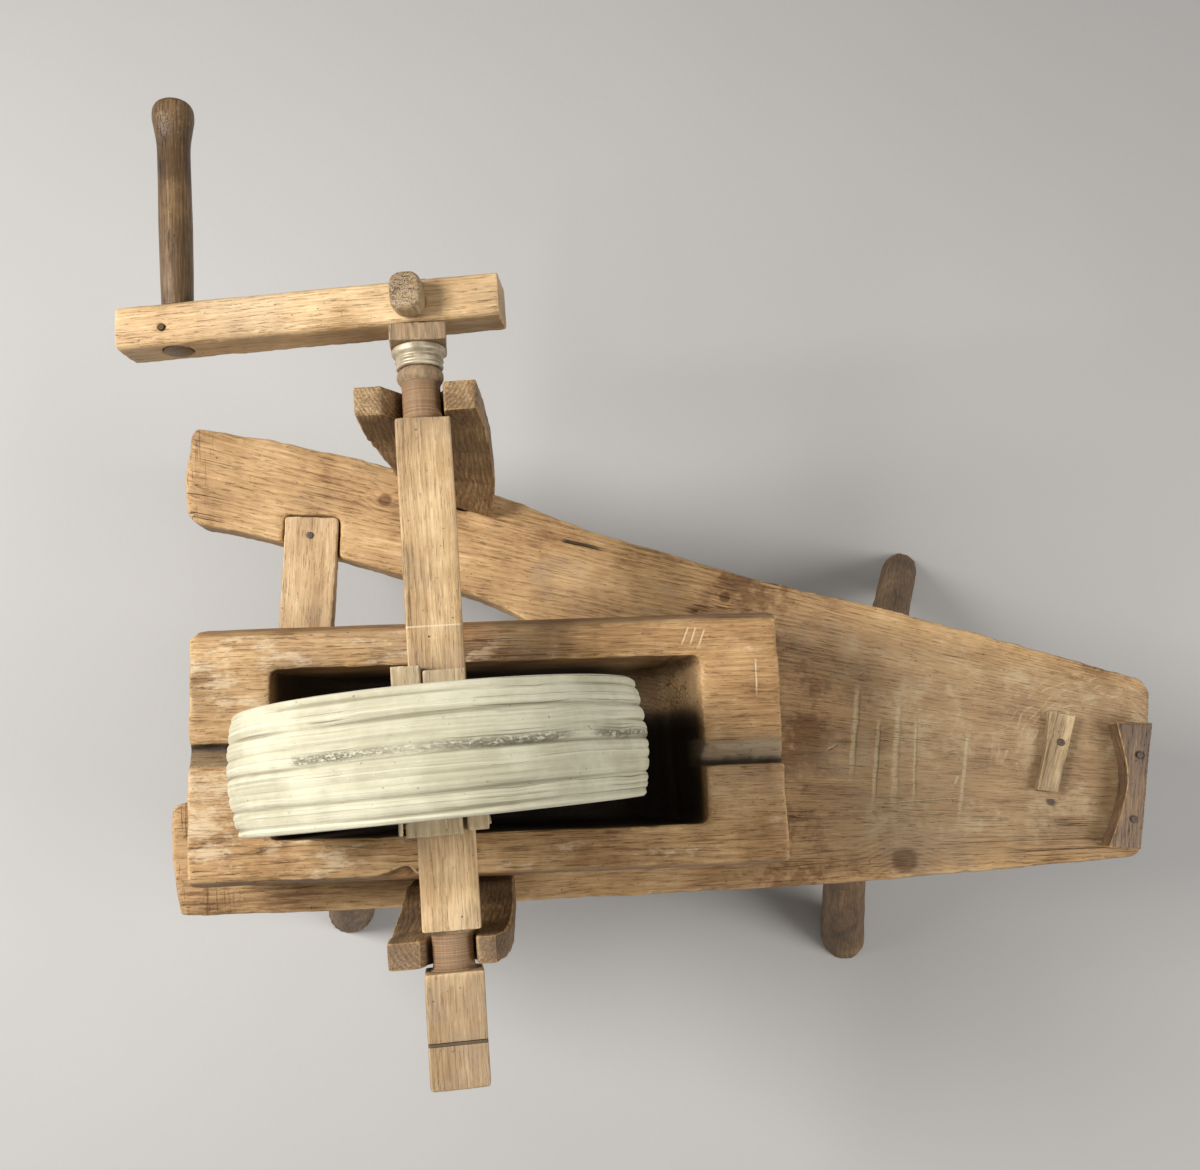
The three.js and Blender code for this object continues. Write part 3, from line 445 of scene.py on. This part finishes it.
def make_stone(material):
    """The turned wheel with its worn rim, a square eye and the slight skew that it sits at."""
    crown, edge, edge_drop = 0.008, 0.0035, 0.0022
    bore, face_steps, rim_steps = 0.064, 14, 118
    face_reach = stone_radius - 0.012 - bore
    side = [bore + face_reach * step / face_steps for step in range(face_steps + 1)]
    rim = [-stone_half + 2 * stone_half * step / rim_steps for step in range(rim_steps + 1)]
    crowned = [(stone_radius - crown * (y / stone_half) ** 2, y) for y in rim]
    rounded = [(r - edge_drop * max(0, 1 - (stone_half - abs(y)) / edge) ** 2, y) for r, y in crowned]
    profile = [(r, -stone_half) for r in side] + rounded + [(r, stone_half) for r in reversed(side)]
    shape = turned_shape(profile, 256)
    sunk = shape.verts.layers.float.new("sunk")
    worn = shape.verts.layers.float.new("worn")
    for vertex in shape.verts:
        x, y, z = vertex.co
        radius = math.hypot(x, z)
        if radius < stone_radius - 0.0115:
            pit = 0.5 + 0.5 * noise.noise(vertex.co * 30)
            pit += 0.5 * noise.noise(vertex.co * 110)
            vertex.co.y -= math.copysign(0.0011 * max(0, pit), y)
            continue
        cut = rim_cut(math.atan2(z, x), y)
        vertex[sunk] = min(1.0, cut / 0.004)
        vertex[worn] = max(0.0, min(1.0, 1 - (stone_half - abs(y)) / 0.004))
        vertex.co *= (radius - cut) / radius
        vertex.co.y = y
    square_the_eye(shape)
    turn = Matrix.Rotation(axle_roll, 4, "Y") @ Matrix.Rotation(stone_skew, 4, "Z")
    bmesh.ops.transform(shape, matrix=Matrix.Translation(hub) @ turn, verts=shape.verts)
    add_piece("stone", shape, "rotor", material, "grindstone")


def square_the_eye(shape):
    """Closes the round hole that the turning leaves down to a square eye through the stone."""
    loops = []
    for side in (-1, 1):
        rim = [edge for edge in shape.edges if edge.is_boundary and edge.verts[0].co.y * side > 0]
        grown = bmesh.ops.extrude_edge_only(shape, edges=rim)["geom"]
        for vertex in (item for item in grown if isinstance(item, bmesh.types.BMVert)):
            x, _, z = vertex.co
            scale = eye_half / max(abs(x), abs(z))
            vertex.co = (x * scale, side * stone_half, z * scale)
        loops += [item for item in grown if isinstance(item, bmesh.types.BMEdge)]
    bmesh.ops.bridge_loops(shape, edges=[edge for edge in loops if edge.is_boundary])
    bmesh.ops.recalc_face_normals(shape, faces=shape.faces)


def sandstone():
    paint = Paint("sandstone")
    own = paint.turned(Vector((1, math.tan(stone_skew), 0)), hub)
    x, y, z = paint.parts(own)
    radius = paint.math("SQRT", x * x + z * z)
    slow = paint.mottle(paint.place, 5.5, 3)
    wavy = y + (slow - 0.5) * 0.012
    lines = paint.mottle(paint.joined(slow * 1.4, wavy * 330, radius * 60), 1, 4, 0.7)
    threads = paint.mottle(paint.joined(slow * 2.5, wavy * 560, radius * 90), 1, 2, 0.6)
    grit = paint.mottle(paint.place, 900, 2, 0.7)
    patch = paint.mottle(paint.place, 15, 5, 0.65)
    speck = paint.rise(paint.mottle(paint.place, 240, 3, 0.7), 0.67, 0.74)
    colour = paint.mix(paint.rise(patch, 0.36, 0.66), (0.47, 0.44, 0.312), (0.62, 0.595, 0.448))
    colour = paint.mix(paint.rise(lines, 0.48, 0.66) * 0.55, colour, (0.76, 0.735, 0.57))
    colour = paint.mix(paint.rise(lines, 0.44, 0.32) * 0.5, colour, (0.27, 0.25, 0.155))
    thin = paint.rise(threads, 0.37, 0.3) * paint.rise(slow, 0.36, 0.56)
    colour = paint.mix(thin * 0.6, colour, (0.12, 0.1, 0.06))
    sunk = paint.mark("sunk")
    # Painted shade down in the worn grooves of the rim.
    groove_shade = paint.rise(sunk + (patch - 0.5) * 0.4, 0.34, 0.9)
    colour = paint.mix(groove_shade * 0.6, colour, (0.17, 0.14, 0.085))
    streak_bed = paint.rise(abs(y - 0.002 + (slow - 0.5) * 0.012), 0.006, 0.0002)
    crumbs = paint.mottle(paint.stretch(paint.place, (150, 300, 150)), 1, 5, 0.8)
    weathered = streak_bed * paint.rise(crumbs, 0.44, 0.58) * paint.rise(radius, 0.185, 0.195)
    weathered = weathered * paint.rise(slow, 0.34, 0.5)
    colour = paint.mix(weathered * 0.7, colour, (0.17, 0.13, 0.075))
    colour = paint.mix(speck * 0.55, colour, (0.15, 0.12, 0.07))
    face = paint.rise(radius, 0.194, 0.188)
    colour = paint.mix(face * paint.rise(patch, 0.4, 0.62) * 0.6, colour, (0.27, 0.23, 0.15))
    edge = paint.mark("worn")
    colour = paint.mix(edge * 0.35, colour, (0.76, 0.72, 0.58))
    height = grit * 0.5 + lines * 1.1 + patch * 0.9 - thin * 0.7 - speck * 1.2 - weathered * 1.6
    return paint.finish(colour, 0.82 + (grit - 0.5) * 0.2, height, 0.001)


# ---- Metal ----


def pewter():
    paint = Paint("tarnished_pewter")
    patch = paint.mottle(paint.place, 60, 4, 0.65)
    turning = paint.mottle(paint.stretch(paint.place, (30, 1500, 30)), 1, 2)
    colour = paint.mix(paint.rise(patch, 0.35, 0.65), (0.3, 0.25, 0.17), (0.56, 0.48, 0.34))
    colour = paint.mix(paint.rise(turning, 0.45, 0.7) * 0.5, colour, (0.72, 0.64, 0.49))
    paint.shader.inputs["Metallic"].default_value = 0.35
    return paint.finish(colour, 0.3 + patch * 0.3, turning * 0.6 + patch, 0.0004)


def old_iron():
    paint = Paint("rusty_iron")
    patch = paint.mottle(paint.place, 240, 4, 0.7)
    rust, bare = (0.045, 0.026, 0.018), (0.12, 0.085, 0.065)
    colour = paint.mix(paint.rise(patch, 0.38, 0.66), rust, bare)
    colour = paint.mix(paint.mark("worn") * 0.5, colour, (0.3, 0.27, 0.24))
    paint.feed(paint.shader.inputs["Metallic"], paint.rise(patch, 0.4, 0.7) * 0.7)
    return paint.finish(colour, 0.5 + patch * 0.3, patch, 0.0005)


# ---- Timbers ----


def slab_marks(paint, colour, height):
    """Zones of the slab: golden arms, a dark brown band by the trough and a grey, rubbed seat."""
    x, y, _ = paint.parts(paint.vector("SUBTRACT", paint.place, hub))
    patch = paint.mottle(paint.place, 9, 4, 0.6)
    near = paint.rise(x + (patch - 0.5) * 0.2, 0.26, 0.34) * paint.rise(x + (patch - 0.5) * 0.3, 0.56, 0.4)
    stained = near * paint.rise(paint.mottle(paint.place, 12, 5, 0.7), 0.45, 0.58)
    colour = paint.mix(near * 0.15, colour, (0.66, 0.57, 0.5), "MULTIPLY")
    colour = paint.mix(stained * 0.85, colour, (0.36, 0.26, 0.19), "MULTIPLY")
    seat = paint.rise(x + (patch - 0.5) * 0.3, 0.34, 0.56)
    free_edge, crank_edge = slab_edges(x)
    middle = (crank_edge + free_edge) * 0.5
    inside = paint.rise(abs(y - middle) / (0.25 - x * 0.165), 1.0, 0.66)
    colour = paint.mix(seat * inside * 0.48, colour, (0.28, 0.2, 0.12))
    rubbed = seat * inside * paint.rise(paint.mottle(paint.place, 24, 5, 0.72), 0.48, 0.66)
    colour = paint.mix(rubbed * 0.42, colour, (0.52, 0.415, 0.265))
    swirl = paint.vector("DISTANCE", paint.place, on_slab(0.775, -0.075), "Value")
    wave = swirl + (paint.mottle(paint.place, 18, 2) - 0.5) * 0.03
    rays = paint.rise(paint.math("SINE", wave * 700), 0.3, 0.95) * paint.rise(y, -0.09, -0.03)
    rays = rays * paint.rise(swirl, 0.075, 0.09) * paint.rise(swirl, 0.155, 0.11)
    rays = rays * paint.rise(paint.mottle(paint.place, 60, 3, 0.7), 0.44, 0.6)
    colour = paint.mix(rays * 0.4, colour, (0.6, 0.5, 0.36))
    strokes = 0.0
    for start, end, width in seat_strokes:
        strokes = paint.larger(stroke(paint, start, end, width), strokes)
    torn = paint.rise(paint.mottle(paint.place, 240, 3, 0.7), 0.3, 0.52)
    colour = paint.mix(strokes * torn * 0.6, colour, (0.55, 0.45, 0.28))
    split = stroke(paint, (0.137, 0.266), (0.2, 0.247), 0.0028)
    colour = paint.mix(split * 0.9, colour, (0.03, 0.018, 0.01))
    kerfs = paint.rise(paint.mottle(paint.stretch(paint.place, (260, 16, 16)), 1, 3, 0.7), 0.56, 0.66)
    kerfs = kerfs * paint.rise(x + (patch - 0.5) * 0.1, -0.26, -0.31)
    colour = paint.mix(kerfs * 0.4, colour, (0.4, 0.3, 0.22), "MULTIPLY")
    return colour, height - strokes * 1.2 - split * 4 + rays * 0.5 - kerfs * 0.8


# Scrapes across the seat: start and end from the hub, and width.
seat_strokes = [
    ((0.491, 0.062), (0.465, -0.07), 0.0048),
    ((0.512, 0.018), (0.489, -0.1), 0.0036),
    ((0.54, 0.049), (0.512, -0.116), 0.0058),
    ((0.557, 0.02), (0.538, -0.108), 0.0032),
    ((0.62, -0.001), (0.59, -0.13), 0.0042),
    ((0.6, -0.06), (0.589, -0.079), 0.0036),
    ((0.487, -0.086), (0.63, -0.089), 0.0018),
    ((0.456, -0.012), (0.44, -0.019), 0.0022),
]


def trough_marks(paint, colour, height):
    """A hollow painted dark, partly water stain and partly painted shade, end-wall grooves painted with light
    and shade, and pale scuffs and patches of painted shade on the flat top.
    """
    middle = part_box("trough")[0].lerp(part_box("trough")[1], 0.5)
    along = (math.cos(trough_turn), math.sin(trough_turn), 0)
    own = paint.turned(along, (middle.x, hub.y + trough_shift, trough_top))
    x, y, z = paint.parts(own)
    patch = paint.mottle(paint.place, 24, 4, 0.65)
    soft = (paint.mottle(paint.place, 40, 3) - 0.5) * 0.02
    inside = paint.rise(abs(y), 0.0935, 0.088) * paint.rise(abs(x), 0.2365, 0.228)
    # The hollow is painted dark: painted shade, with the stone's cast shadow, and partly water stain.
    wet_and_shaded = inside * paint.rise(z, -0.002, -0.02)
    # A painted lit patch high on the seat end's wall, above the stone's painted shadow.
    lit_patch = paint.rise(x, 0.1, 0.16) * paint.rise(y + soft * 0.5, 0.022, 0.046)
    deep = paint.rise(z + soft, -0.008, -0.05)
    colour = paint.mix(wet_and_shaded * (0.75 + patch * 0.4) * (1 - lit_patch * 0.6), colour, (0.05, 0.028, 0.014))
    brown_end = paint.rise(x, -0.12, -0.2)
    # Painted black shade deep in the hollow, less of it towards the far end, which stays brown.
    black_shade = wet_and_shaded * deep * (1 - lit_patch * 0.8) * (0.95 - brown_end * 0.4)
    colour = paint.mix(black_shade, colour, (0.016, 0.01, 0.006))
    flank = paint.rise(z, -0.004, -0.016) * (1 - inside)
    colour = paint.mix(flank * 0.55, colour, (0.5, 0.38, 0.28), "MULTIPLY")
    # Each end wall's groove: which end, its upright and its far side, and the colour painted for its light
    # and shade, pale grey for the lit slope at the seat end and dark shade at the other; the strip by the
    # upright gets painted shade.
    end_grooves = [(1, -0.026, 0.001, (0.27, 0.22, 0.155)), (-1, 0.014, -0.012, (0.09, 0.065, 0.04))]
    for side, upright, far, groove_paint_tone in end_grooves:
        into = (y - upright) / (far - upright)
        end_wall = paint.rise(x * side, 0.218, 0.232) * paint.rise(z, -0.001, -0.004)
        groove = end_wall * paint.rise(into, -0.1, 0.0) * paint.rise(into, 1.1, 0.95)
        colour = paint.mix(groove * 0.7, colour, groove_paint_tone)
        shaded = groove * paint.rise(into + (patch - 0.5) * 0.3, 0.4, 0.08)
        colour = paint.mix(shaded * 0.85, colour, (0.025, 0.015, 0.009))
    flat = paint.rise(z, -0.005, -0.002)
    scuff_bed = paint.mottle(paint.stretch(paint.place, (17, 42, 42)), 1, 6, 0.72)
    scuffs = flat * paint.rise(scuff_bed - x * 0.2, 0.54, 0.66)
    colour = paint.mix(scuffs * 0.5, colour, (0.75, 0.62, 0.43))
    shade = flat * paint.rise(paint.mottle(paint.place, 9, 5, 0.66) + x * 0.25, 0.47, 0.6)
    colour = paint.mix(shade * 0.42, colour, (0.6, 0.46, 0.32), "MULTIPLY")
    scratches = 0.0
    for start, end in trough_scratches:
        scratches = paint.larger(stroke(paint, start, end, 0.0017, trough_top), scratches)
    colour = paint.mix(scratches * flat * 0.6, colour, (0.75, 0.62, 0.42))
    return colour, height - scratches * 0.8 + wet_and_shaded * patch * 2.5


# Scratches on the trough's top: start and end from the hub.
trough_scratches = [
    ((0.268, 0.126), (0.257, 0.103)),
    ((0.276, 0.125), (0.266, 0.102)),
    ((0.285, 0.122), (0.275, 0.1)),
    ((0.338, 0.087), (0.335, 0.04)),
]


def adze_cuts(place):
    """Shallow scoops inside the trough's hollow, and a crease down its seat end."""
    x, y, z = place - Vector((hub.x, hub.y, trough_top))
    if z > -0.006 or abs(y - trough_shift) > 0.1 or not -0.2 < x < 0.285:
        return 0.0
    scoops = noise.voronoi(Vector((x * 16, y * 26, z * 26)))[0]
    crease = 0.002 * math.exp(-(((x - 0.25 - 0.1 * z) / 0.003) ** 2)) * (z > -0.09)
    return 0.0022 * min(1.0, scoops[0]) + crease


def golden_edges(paint, colour, height):
    """Edges rubbed through to fresh yellow wood."""
    ragged = paint.mark("worn") + (paint.mottle(paint.place, 120, 3) - 0.5) * 0.5
    return paint.mix(paint.rise(ragged, 0.42, 0.85) * 0.85, colour, (0.62, 0.36, 0.12)), height


def axle_marks(paint, colour, height):
    """Turning lines and polish on the round journals, and the scored line on the end block."""
    own = paint.turned(Vector((1, 0, 0)), hub)
    x, y, z = paint.parts(own)
    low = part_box("axle")[0].y - hub.y
    lip = 0.001
    free_start, free_end = low + 0.107, low + 0.141
    crank_start, crank_end = 0.343, 0.384
    scribed_at, score_at = 0.128, low + 0.0425
    round_part = paint.rise(y, free_start - lip, free_start) * paint.rise(y, free_end, free_end - lip)
    crank_part = paint.rise(y, crank_start, crank_start + lip) * paint.rise(y, crank_end + lip, crank_end)
    round_part = round_part + crank_part
    lines = paint.mottle(paint.joined(x * 4, y * 900, z * 4), 1, 2)
    polished = paint.mix(paint.rise(lines, 0.35, 0.65), (0.1, 0.05, 0.026), (0.3, 0.18, 0.1))
    colour = paint.mix(round_part * 0.8, colour, polished)
    grimy = paint.rise(y, crank_end - 0.004, crank_end + 0.002)
    grimy = grimy + paint.rise(y, 0.29, 0.345) * paint.rise(y, 0.345, crank_start) * 0.6
    grimy = grimy + paint.rise(y, free_start + lip, low + 0.1) * 0.42
    strands = paint.rise(paint.mottle(paint.joined(x * 260, y * 22, z * 260), 1, 3, 0.7), 0.38, 0.62)
    colour = paint.mix(grimy * (0.45 + strands * 0.4), colour, (0.2, 0.145, 0.095))
    scribed = paint.rise(abs(y - scribed_at), 0.0011, 0.0004) * paint.rise(z, 0.024, 0.027)
    colour = paint.mix(scribed * 0.6, colour, (0.75, 0.65, 0.48))
    score = paint.rise(abs(y - score_at), 0.0019, 0.001)
    colour = paint.mix(score * 0.8, colour, (0.06, 0.04, 0.025))
    return colour, height * (1 - round_part * 0.8) + lines * round_part * 0.5 - score * 3


def make_bench():
    honey = [(0.184, 0.0932, 0.0358), (0.451, 0.278, 0.128), (0.66, 0.454, 0.237)]
    spots = [(0.335, 0.179, 0.009), (0.522, -0.156, 0.02), (-0.077, 0.332, 0.011)]
    knots = [(on_slab(x, y), size) for x, y, size in spots]
    slab = wood("slab_oak", fork_flow, honey, gap=0.0055, weather=0.45, knots=knots, extra=slab_marks)
    worn_piece("bench_slab", 0, slab, 0.0042, dents=0.0016, ridges=0.0008, nicks=0.005)

    brown = [(0.16, 0.081, 0.031), (0.435, 0.268, 0.122), (0.67, 0.465, 0.245)]
    trough = wood(
        "trough_oak", straight("trough", 0, (0, -0.02, -0.11)), brown, weather=0.4, extra=trough_marks
    )
    worn_piece("trough", 0, trough, 0.0034, dents=0.0014, ridges=0.0006, nicks=0.004, carve=adze_cuts)

    dull = [(0.056, 0.0306, 0.0138), (0.216, 0.126, 0.0566), (0.5, 0.353, 0.189)]
    for node in ("crank_side_post", "free_side_post"):
        post = wood(f"{node}_oak", straight(node, 2), dull, gloss=0.4, extra=golden_edges)
        worn_piece(node, 2, post, 0.002, dents=0.001, nicks=0.003)

    dark = [(0.056, 0.0275, 0.011), (0.188, 0.108, 0.0485), (0.38, 0.239, 0.12)]
    for end in ("seat_crank_side", "seat_free_side", "fork_free_side", "fork_crank_side"):
        node = f"leg_{end}"
        leg = wood(f"{node}_oak", straight(node, 2), dark, weather=0.4)
        worn_piece(node, 2, leg, 0.003, dents=0.002, ridges=0.001)

    raw = [(0.304, 0.183, 0.086), (0.526, 0.359, 0.194), (0.72, 0.54, 0.335)]
    brace = wood("brace_deal", straight("cross_brace", 1, (0, 0.02, 0.09)), raw, weather=0.25, gap=0.007)
    worn_piece("cross_brace", 1, brace, 0.002, dents=0.0004, ridges=0.0003, nicks=0.001)
    pegs = wood("peg_deal", straight("crank_post_wedge", 2), raw, weather=0.3)
    for node in ("crank_post_wedge", "free_post_wedge"):
        worn_piece(node, 2, pegs, 0.0008, dents=0.0001, ridges=0.0001, nicks=0.0003)

    waxed = [(0.04, 0.02, 0.011), (0.125, 0.074, 0.04), (0.3, 0.19, 0.1)]
    cleat = wood(
        "end_cleat_oak", straight("end_cleat", 1), waxed, weather=0.2, rough=0.45, gloss=0.5,
        extra=golden_edges,
    )
    worn_piece("end_cleat", 1, cleat, 0.0016, dents=0.0008, nicks=0.002)
    yellow = [(0.128, 0.0764, 0.0344), (0.338, 0.242, 0.137), (0.62, 0.477, 0.275)]
    flow = straight("small_cleat", 1, (0.02, 0, 0.02))
    cleat = wood("small_cleat_ash", flow, yellow, weather=0.3, extra=golden_edges)
    worn_piece("small_cleat", 1, cleat, 0.0012, dents=0.0006, nicks=0.002)

    iron = old_iron()
    for node in frame["nodes"]:
        if "_nail" in node or node == "seat_nail":
            worn_piece(node, 2, iron, 0.0006, passes=2, dents=0.0003, ridges=0, nicks=0.001)


def make_rotor():
    pale = [(0.2, 0.118, 0.0516), (0.461, 0.305, 0.154), (0.69, 0.506, 0.292)]
    axle = wood("axle_oak", straight("axle", 1, (0.02, 0, 0.06)), pale, gap=0.004, extra=axle_marks)
    worn_piece("axle", 1, axle, 0.0019, dents=0.0007, ridges=0.0006, nicks=0.0015)

    chalky = [(0.288, 0.206, 0.117), (0.526, 0.404, 0.243), (0.72, 0.592, 0.396)]
    for node in sorted(frame["nodes"]):
        if node.startswith("wedge_"):
            wedge = wood(f"{node}_ash", straight(node, 1), chalky, weather=0.35, scale=0.7)
            worn_piece(node, 1, wedge, 0.0015, passes=2, dents=0.0004, ridges=0.0003, nicks=0.0015)

    planed = [(0.272, 0.153, 0.0619), (0.526, 0.346, 0.174), (0.76, 0.563, 0.327)]
    arm = wood(
        "crank_arm_ash", straight("crank_arm", 0), planed, weather=0.35, rings=0.25, rough=0.45, cracked=0.15
    )
    worn_piece("crank_arm", 0, arm, 0.0019, passes=4, dents=0.0008, ridges=0.0003, nicks=0.0015)

    shiny = [(0.112, 0.0688, 0.0344), (0.357, 0.251, 0.137), (0.66, 0.516, 0.318)]
    key = wood("key_oak", straight("crank_key", 2), shiny, weather=0.3, rough=0.34, gloss=0.5)
    worn_piece("crank_key", 2, key, 0.0013, passes=4, dents=0.0006, ridges=0.0002, nicks=0.001)

    handled = [(0.032, 0.016, 0.00619), (0.103, 0.0584, 0.0243), (0.28, 0.172, 0.0774)]
    pin = wood("pin_oak", straight("handle_pin", 2), handled, weather=0.2)
    worn_piece("handle_pin", 2, pin, 0.0006, passes=2, dents=0.0001, ridges=0.0001, nicks=0.0002)
    handle = wood(
        "handle_beech", straight("crank_handle", 1), handled, weather=0.3, rough=0.38, rings=0.2, gloss=0.45
    )
    make_handle(handle)
    make_stone(sandstone())
    make_ferrule(pewter())


def make_handle(material):
    """The turned handle: a tenon in the arm, a slim grip and a rounded knob."""
    low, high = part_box("crank_handle")
    middle = low.lerp(high, 0.5)
    length = high.y - low.y
    tenon = 0.0485
    tenon_radius = 0.015
    grip = length - tenon
    outline = [
        (0.017, tenon), (0.0176, tenon + 0.12 * grip), (0.0182, tenon + 0.4 * grip),
        (0.0178, tenon + 0.66 * grip), (0.0183, tenon + 0.78 * grip), (0.0208, tenon + 0.86 * grip),
        (0.0228, tenon + 0.92 * grip), (0.0216, tenon + 0.965 * grip), (0.0165, length - 0.0025),
        (0.008, length - 0.0006), (0, length),
    ]
    chamfer = 0.0005
    profile = [(0, 0), (tenon_radius - chamfer, 0), (tenon_radius, chamfer), (tenon_radius, tenon)]
    profile += [(0.0165, tenon), *smooth_profile(outline, 0.0025)]
    shape = turned_shape(profile, 56)
    for vertex in shape.verts:
        radius = math.hypot(vertex.co.x, vertex.co.z)
        if radius > tenon_radius + 0.0005:
            x, y, z = vertex.co
            dent = 0.0006 * (0.5 + 0.5 * noise.noise(vertex.co * 22))
            dent += 0.0003 * (0.5 + 0.5 * noise.noise(Vector((x * 300, y * 25, z * 300))))
            vertex.co *= (radius - dent) / radius
            vertex.co.y = y
    bmesh.ops.translate(shape, verts=shape.verts, vec=(middle.x, low.y, middle.z))
    add_piece("handle", shape, "rotor", material, "crank_handle")


def make_ferrule(material):
    """The ringed metal sleeve on the axle's neck."""
    low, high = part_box("neck_ferrule")
    length = high.y - low.y
    bore = 0.0193
    outline = [
        (0.0236, 0), (0.025, 0.0022), (0.0236, 0.0052), (0.0254, 0.0085), (0.0239, 0.0118), (0.0262, 0.0142),
        (0.0279, 0.0165), (0.0279, length - 0.001), (0.0273, length),
    ]
    profile = [(bore, 0), *smooth_profile(outline, 0.0008), (bore, length), (bore, 0)]
    shape = turned_shape(profile, 72)
    for vertex in shape.verts:
        radius = math.hypot(vertex.co.x, vertex.co.z)
        if radius > bore + 0.001:
            y = vertex.co.y
            vertex.co *= (radius - 0.0003 * (0.5 + 0.5 * noise.noise(vertex.co * 90))) / radius
            vertex.co.y = y
    bmesh.ops.translate(shape, verts=shape.verts, vec=(hub.x, low.y, hub.z))
    add_piece("ferrule", shape, "rotor", material, "neck_ferrule")


# ---- Studio ----


def make_camera():
    """A camera nearly overhead, a little towards the seat and the free side of the stone."""
    right = Vector((0.9963, -0.0787, 0.0338))
    up = Vector((0.0721, 0.9837, 0.1645))
    back = Vector((-0.0462, -0.1615, 0.9858))
    turn = Matrix((right, up, back)).transposed().to_4x4()
    place = hub + Vector((0.11129, -0.04143, 1.23627))
    data = bpy.data.cameras.new("camera")
    data.lens = 37.04
    data.sensor_width = 36
    data.sensor_fit = "HORIZONTAL"
    camera = bpy.data.objects.new("camera", data)
    bpy.context.scene.collection.objects.link(camera)
    camera.matrix_world = Matrix.Translation(place) @ turn
    bpy.context.scene.camera = camera


def make_floor():
    shape = bmesh.new()
    bmesh.ops.create_grid(shape, x_segments=4, y_segments=4, size=14)
    mesh = bpy.data.meshes.new("floor")
    shape.to_mesh(mesh)
    shape.free()
    floor = bpy.data.objects.new("floor", mesh)
    bpy.context.scene.collection.objects.link(floor)
    paint = Paint("pale_floor")
    patch = paint.mottle(paint.place, 1.5, 3)
    colour = paint.mix(patch, (0.46, 0.455, 0.45), (0.51, 0.505, 0.5))
    mesh.materials.append(paint.finish(colour, 0.8, paint.mottle(paint.place, 90, 2), 0.0003))


def make_lights():
    """Two soft lamps, the stronger beyond the arms' tips, in a pale room."""
    world = bpy.data.worlds.new("room")
    world.use_nodes = True
    world.node_tree.nodes["Background"].inputs["Color"].default_value = (1.0, 0.985, 0.96, 1)
    world.node_tree.nodes["Background"].inputs["Strength"].default_value = 0.24
    bpy.context.scene.world = world
    bpy.context.scene.view_settings.view_transform = "Standard"
    # Name, place, size, power and colour.
    lamps = [
        ("window", (-2.0, 0.35, 2.3), 1.0, 91, (1.0, 0.97, 0.93)),
        ("lamp", (1.9, -0.9, 2.4), 1.2, 44, (1.0, 0.975, 0.94)),
    ]
    for name, place, size, power, colour in lamps:
        data = bpy.data.lights.new(name, "AREA")
        data.size = size
        data.energy = power
        data.color = colour
        lamp = bpy.data.objects.new(name, data)
        bpy.context.scene.collection.objects.link(lamp)
        lamp.location = place
        lamp.rotation_euler = (hub - Vector(place)).to_track_quat("-Z", "Y").to_euler()


make_bench()
make_rotor()
make_camera()
make_floor()
make_lights()
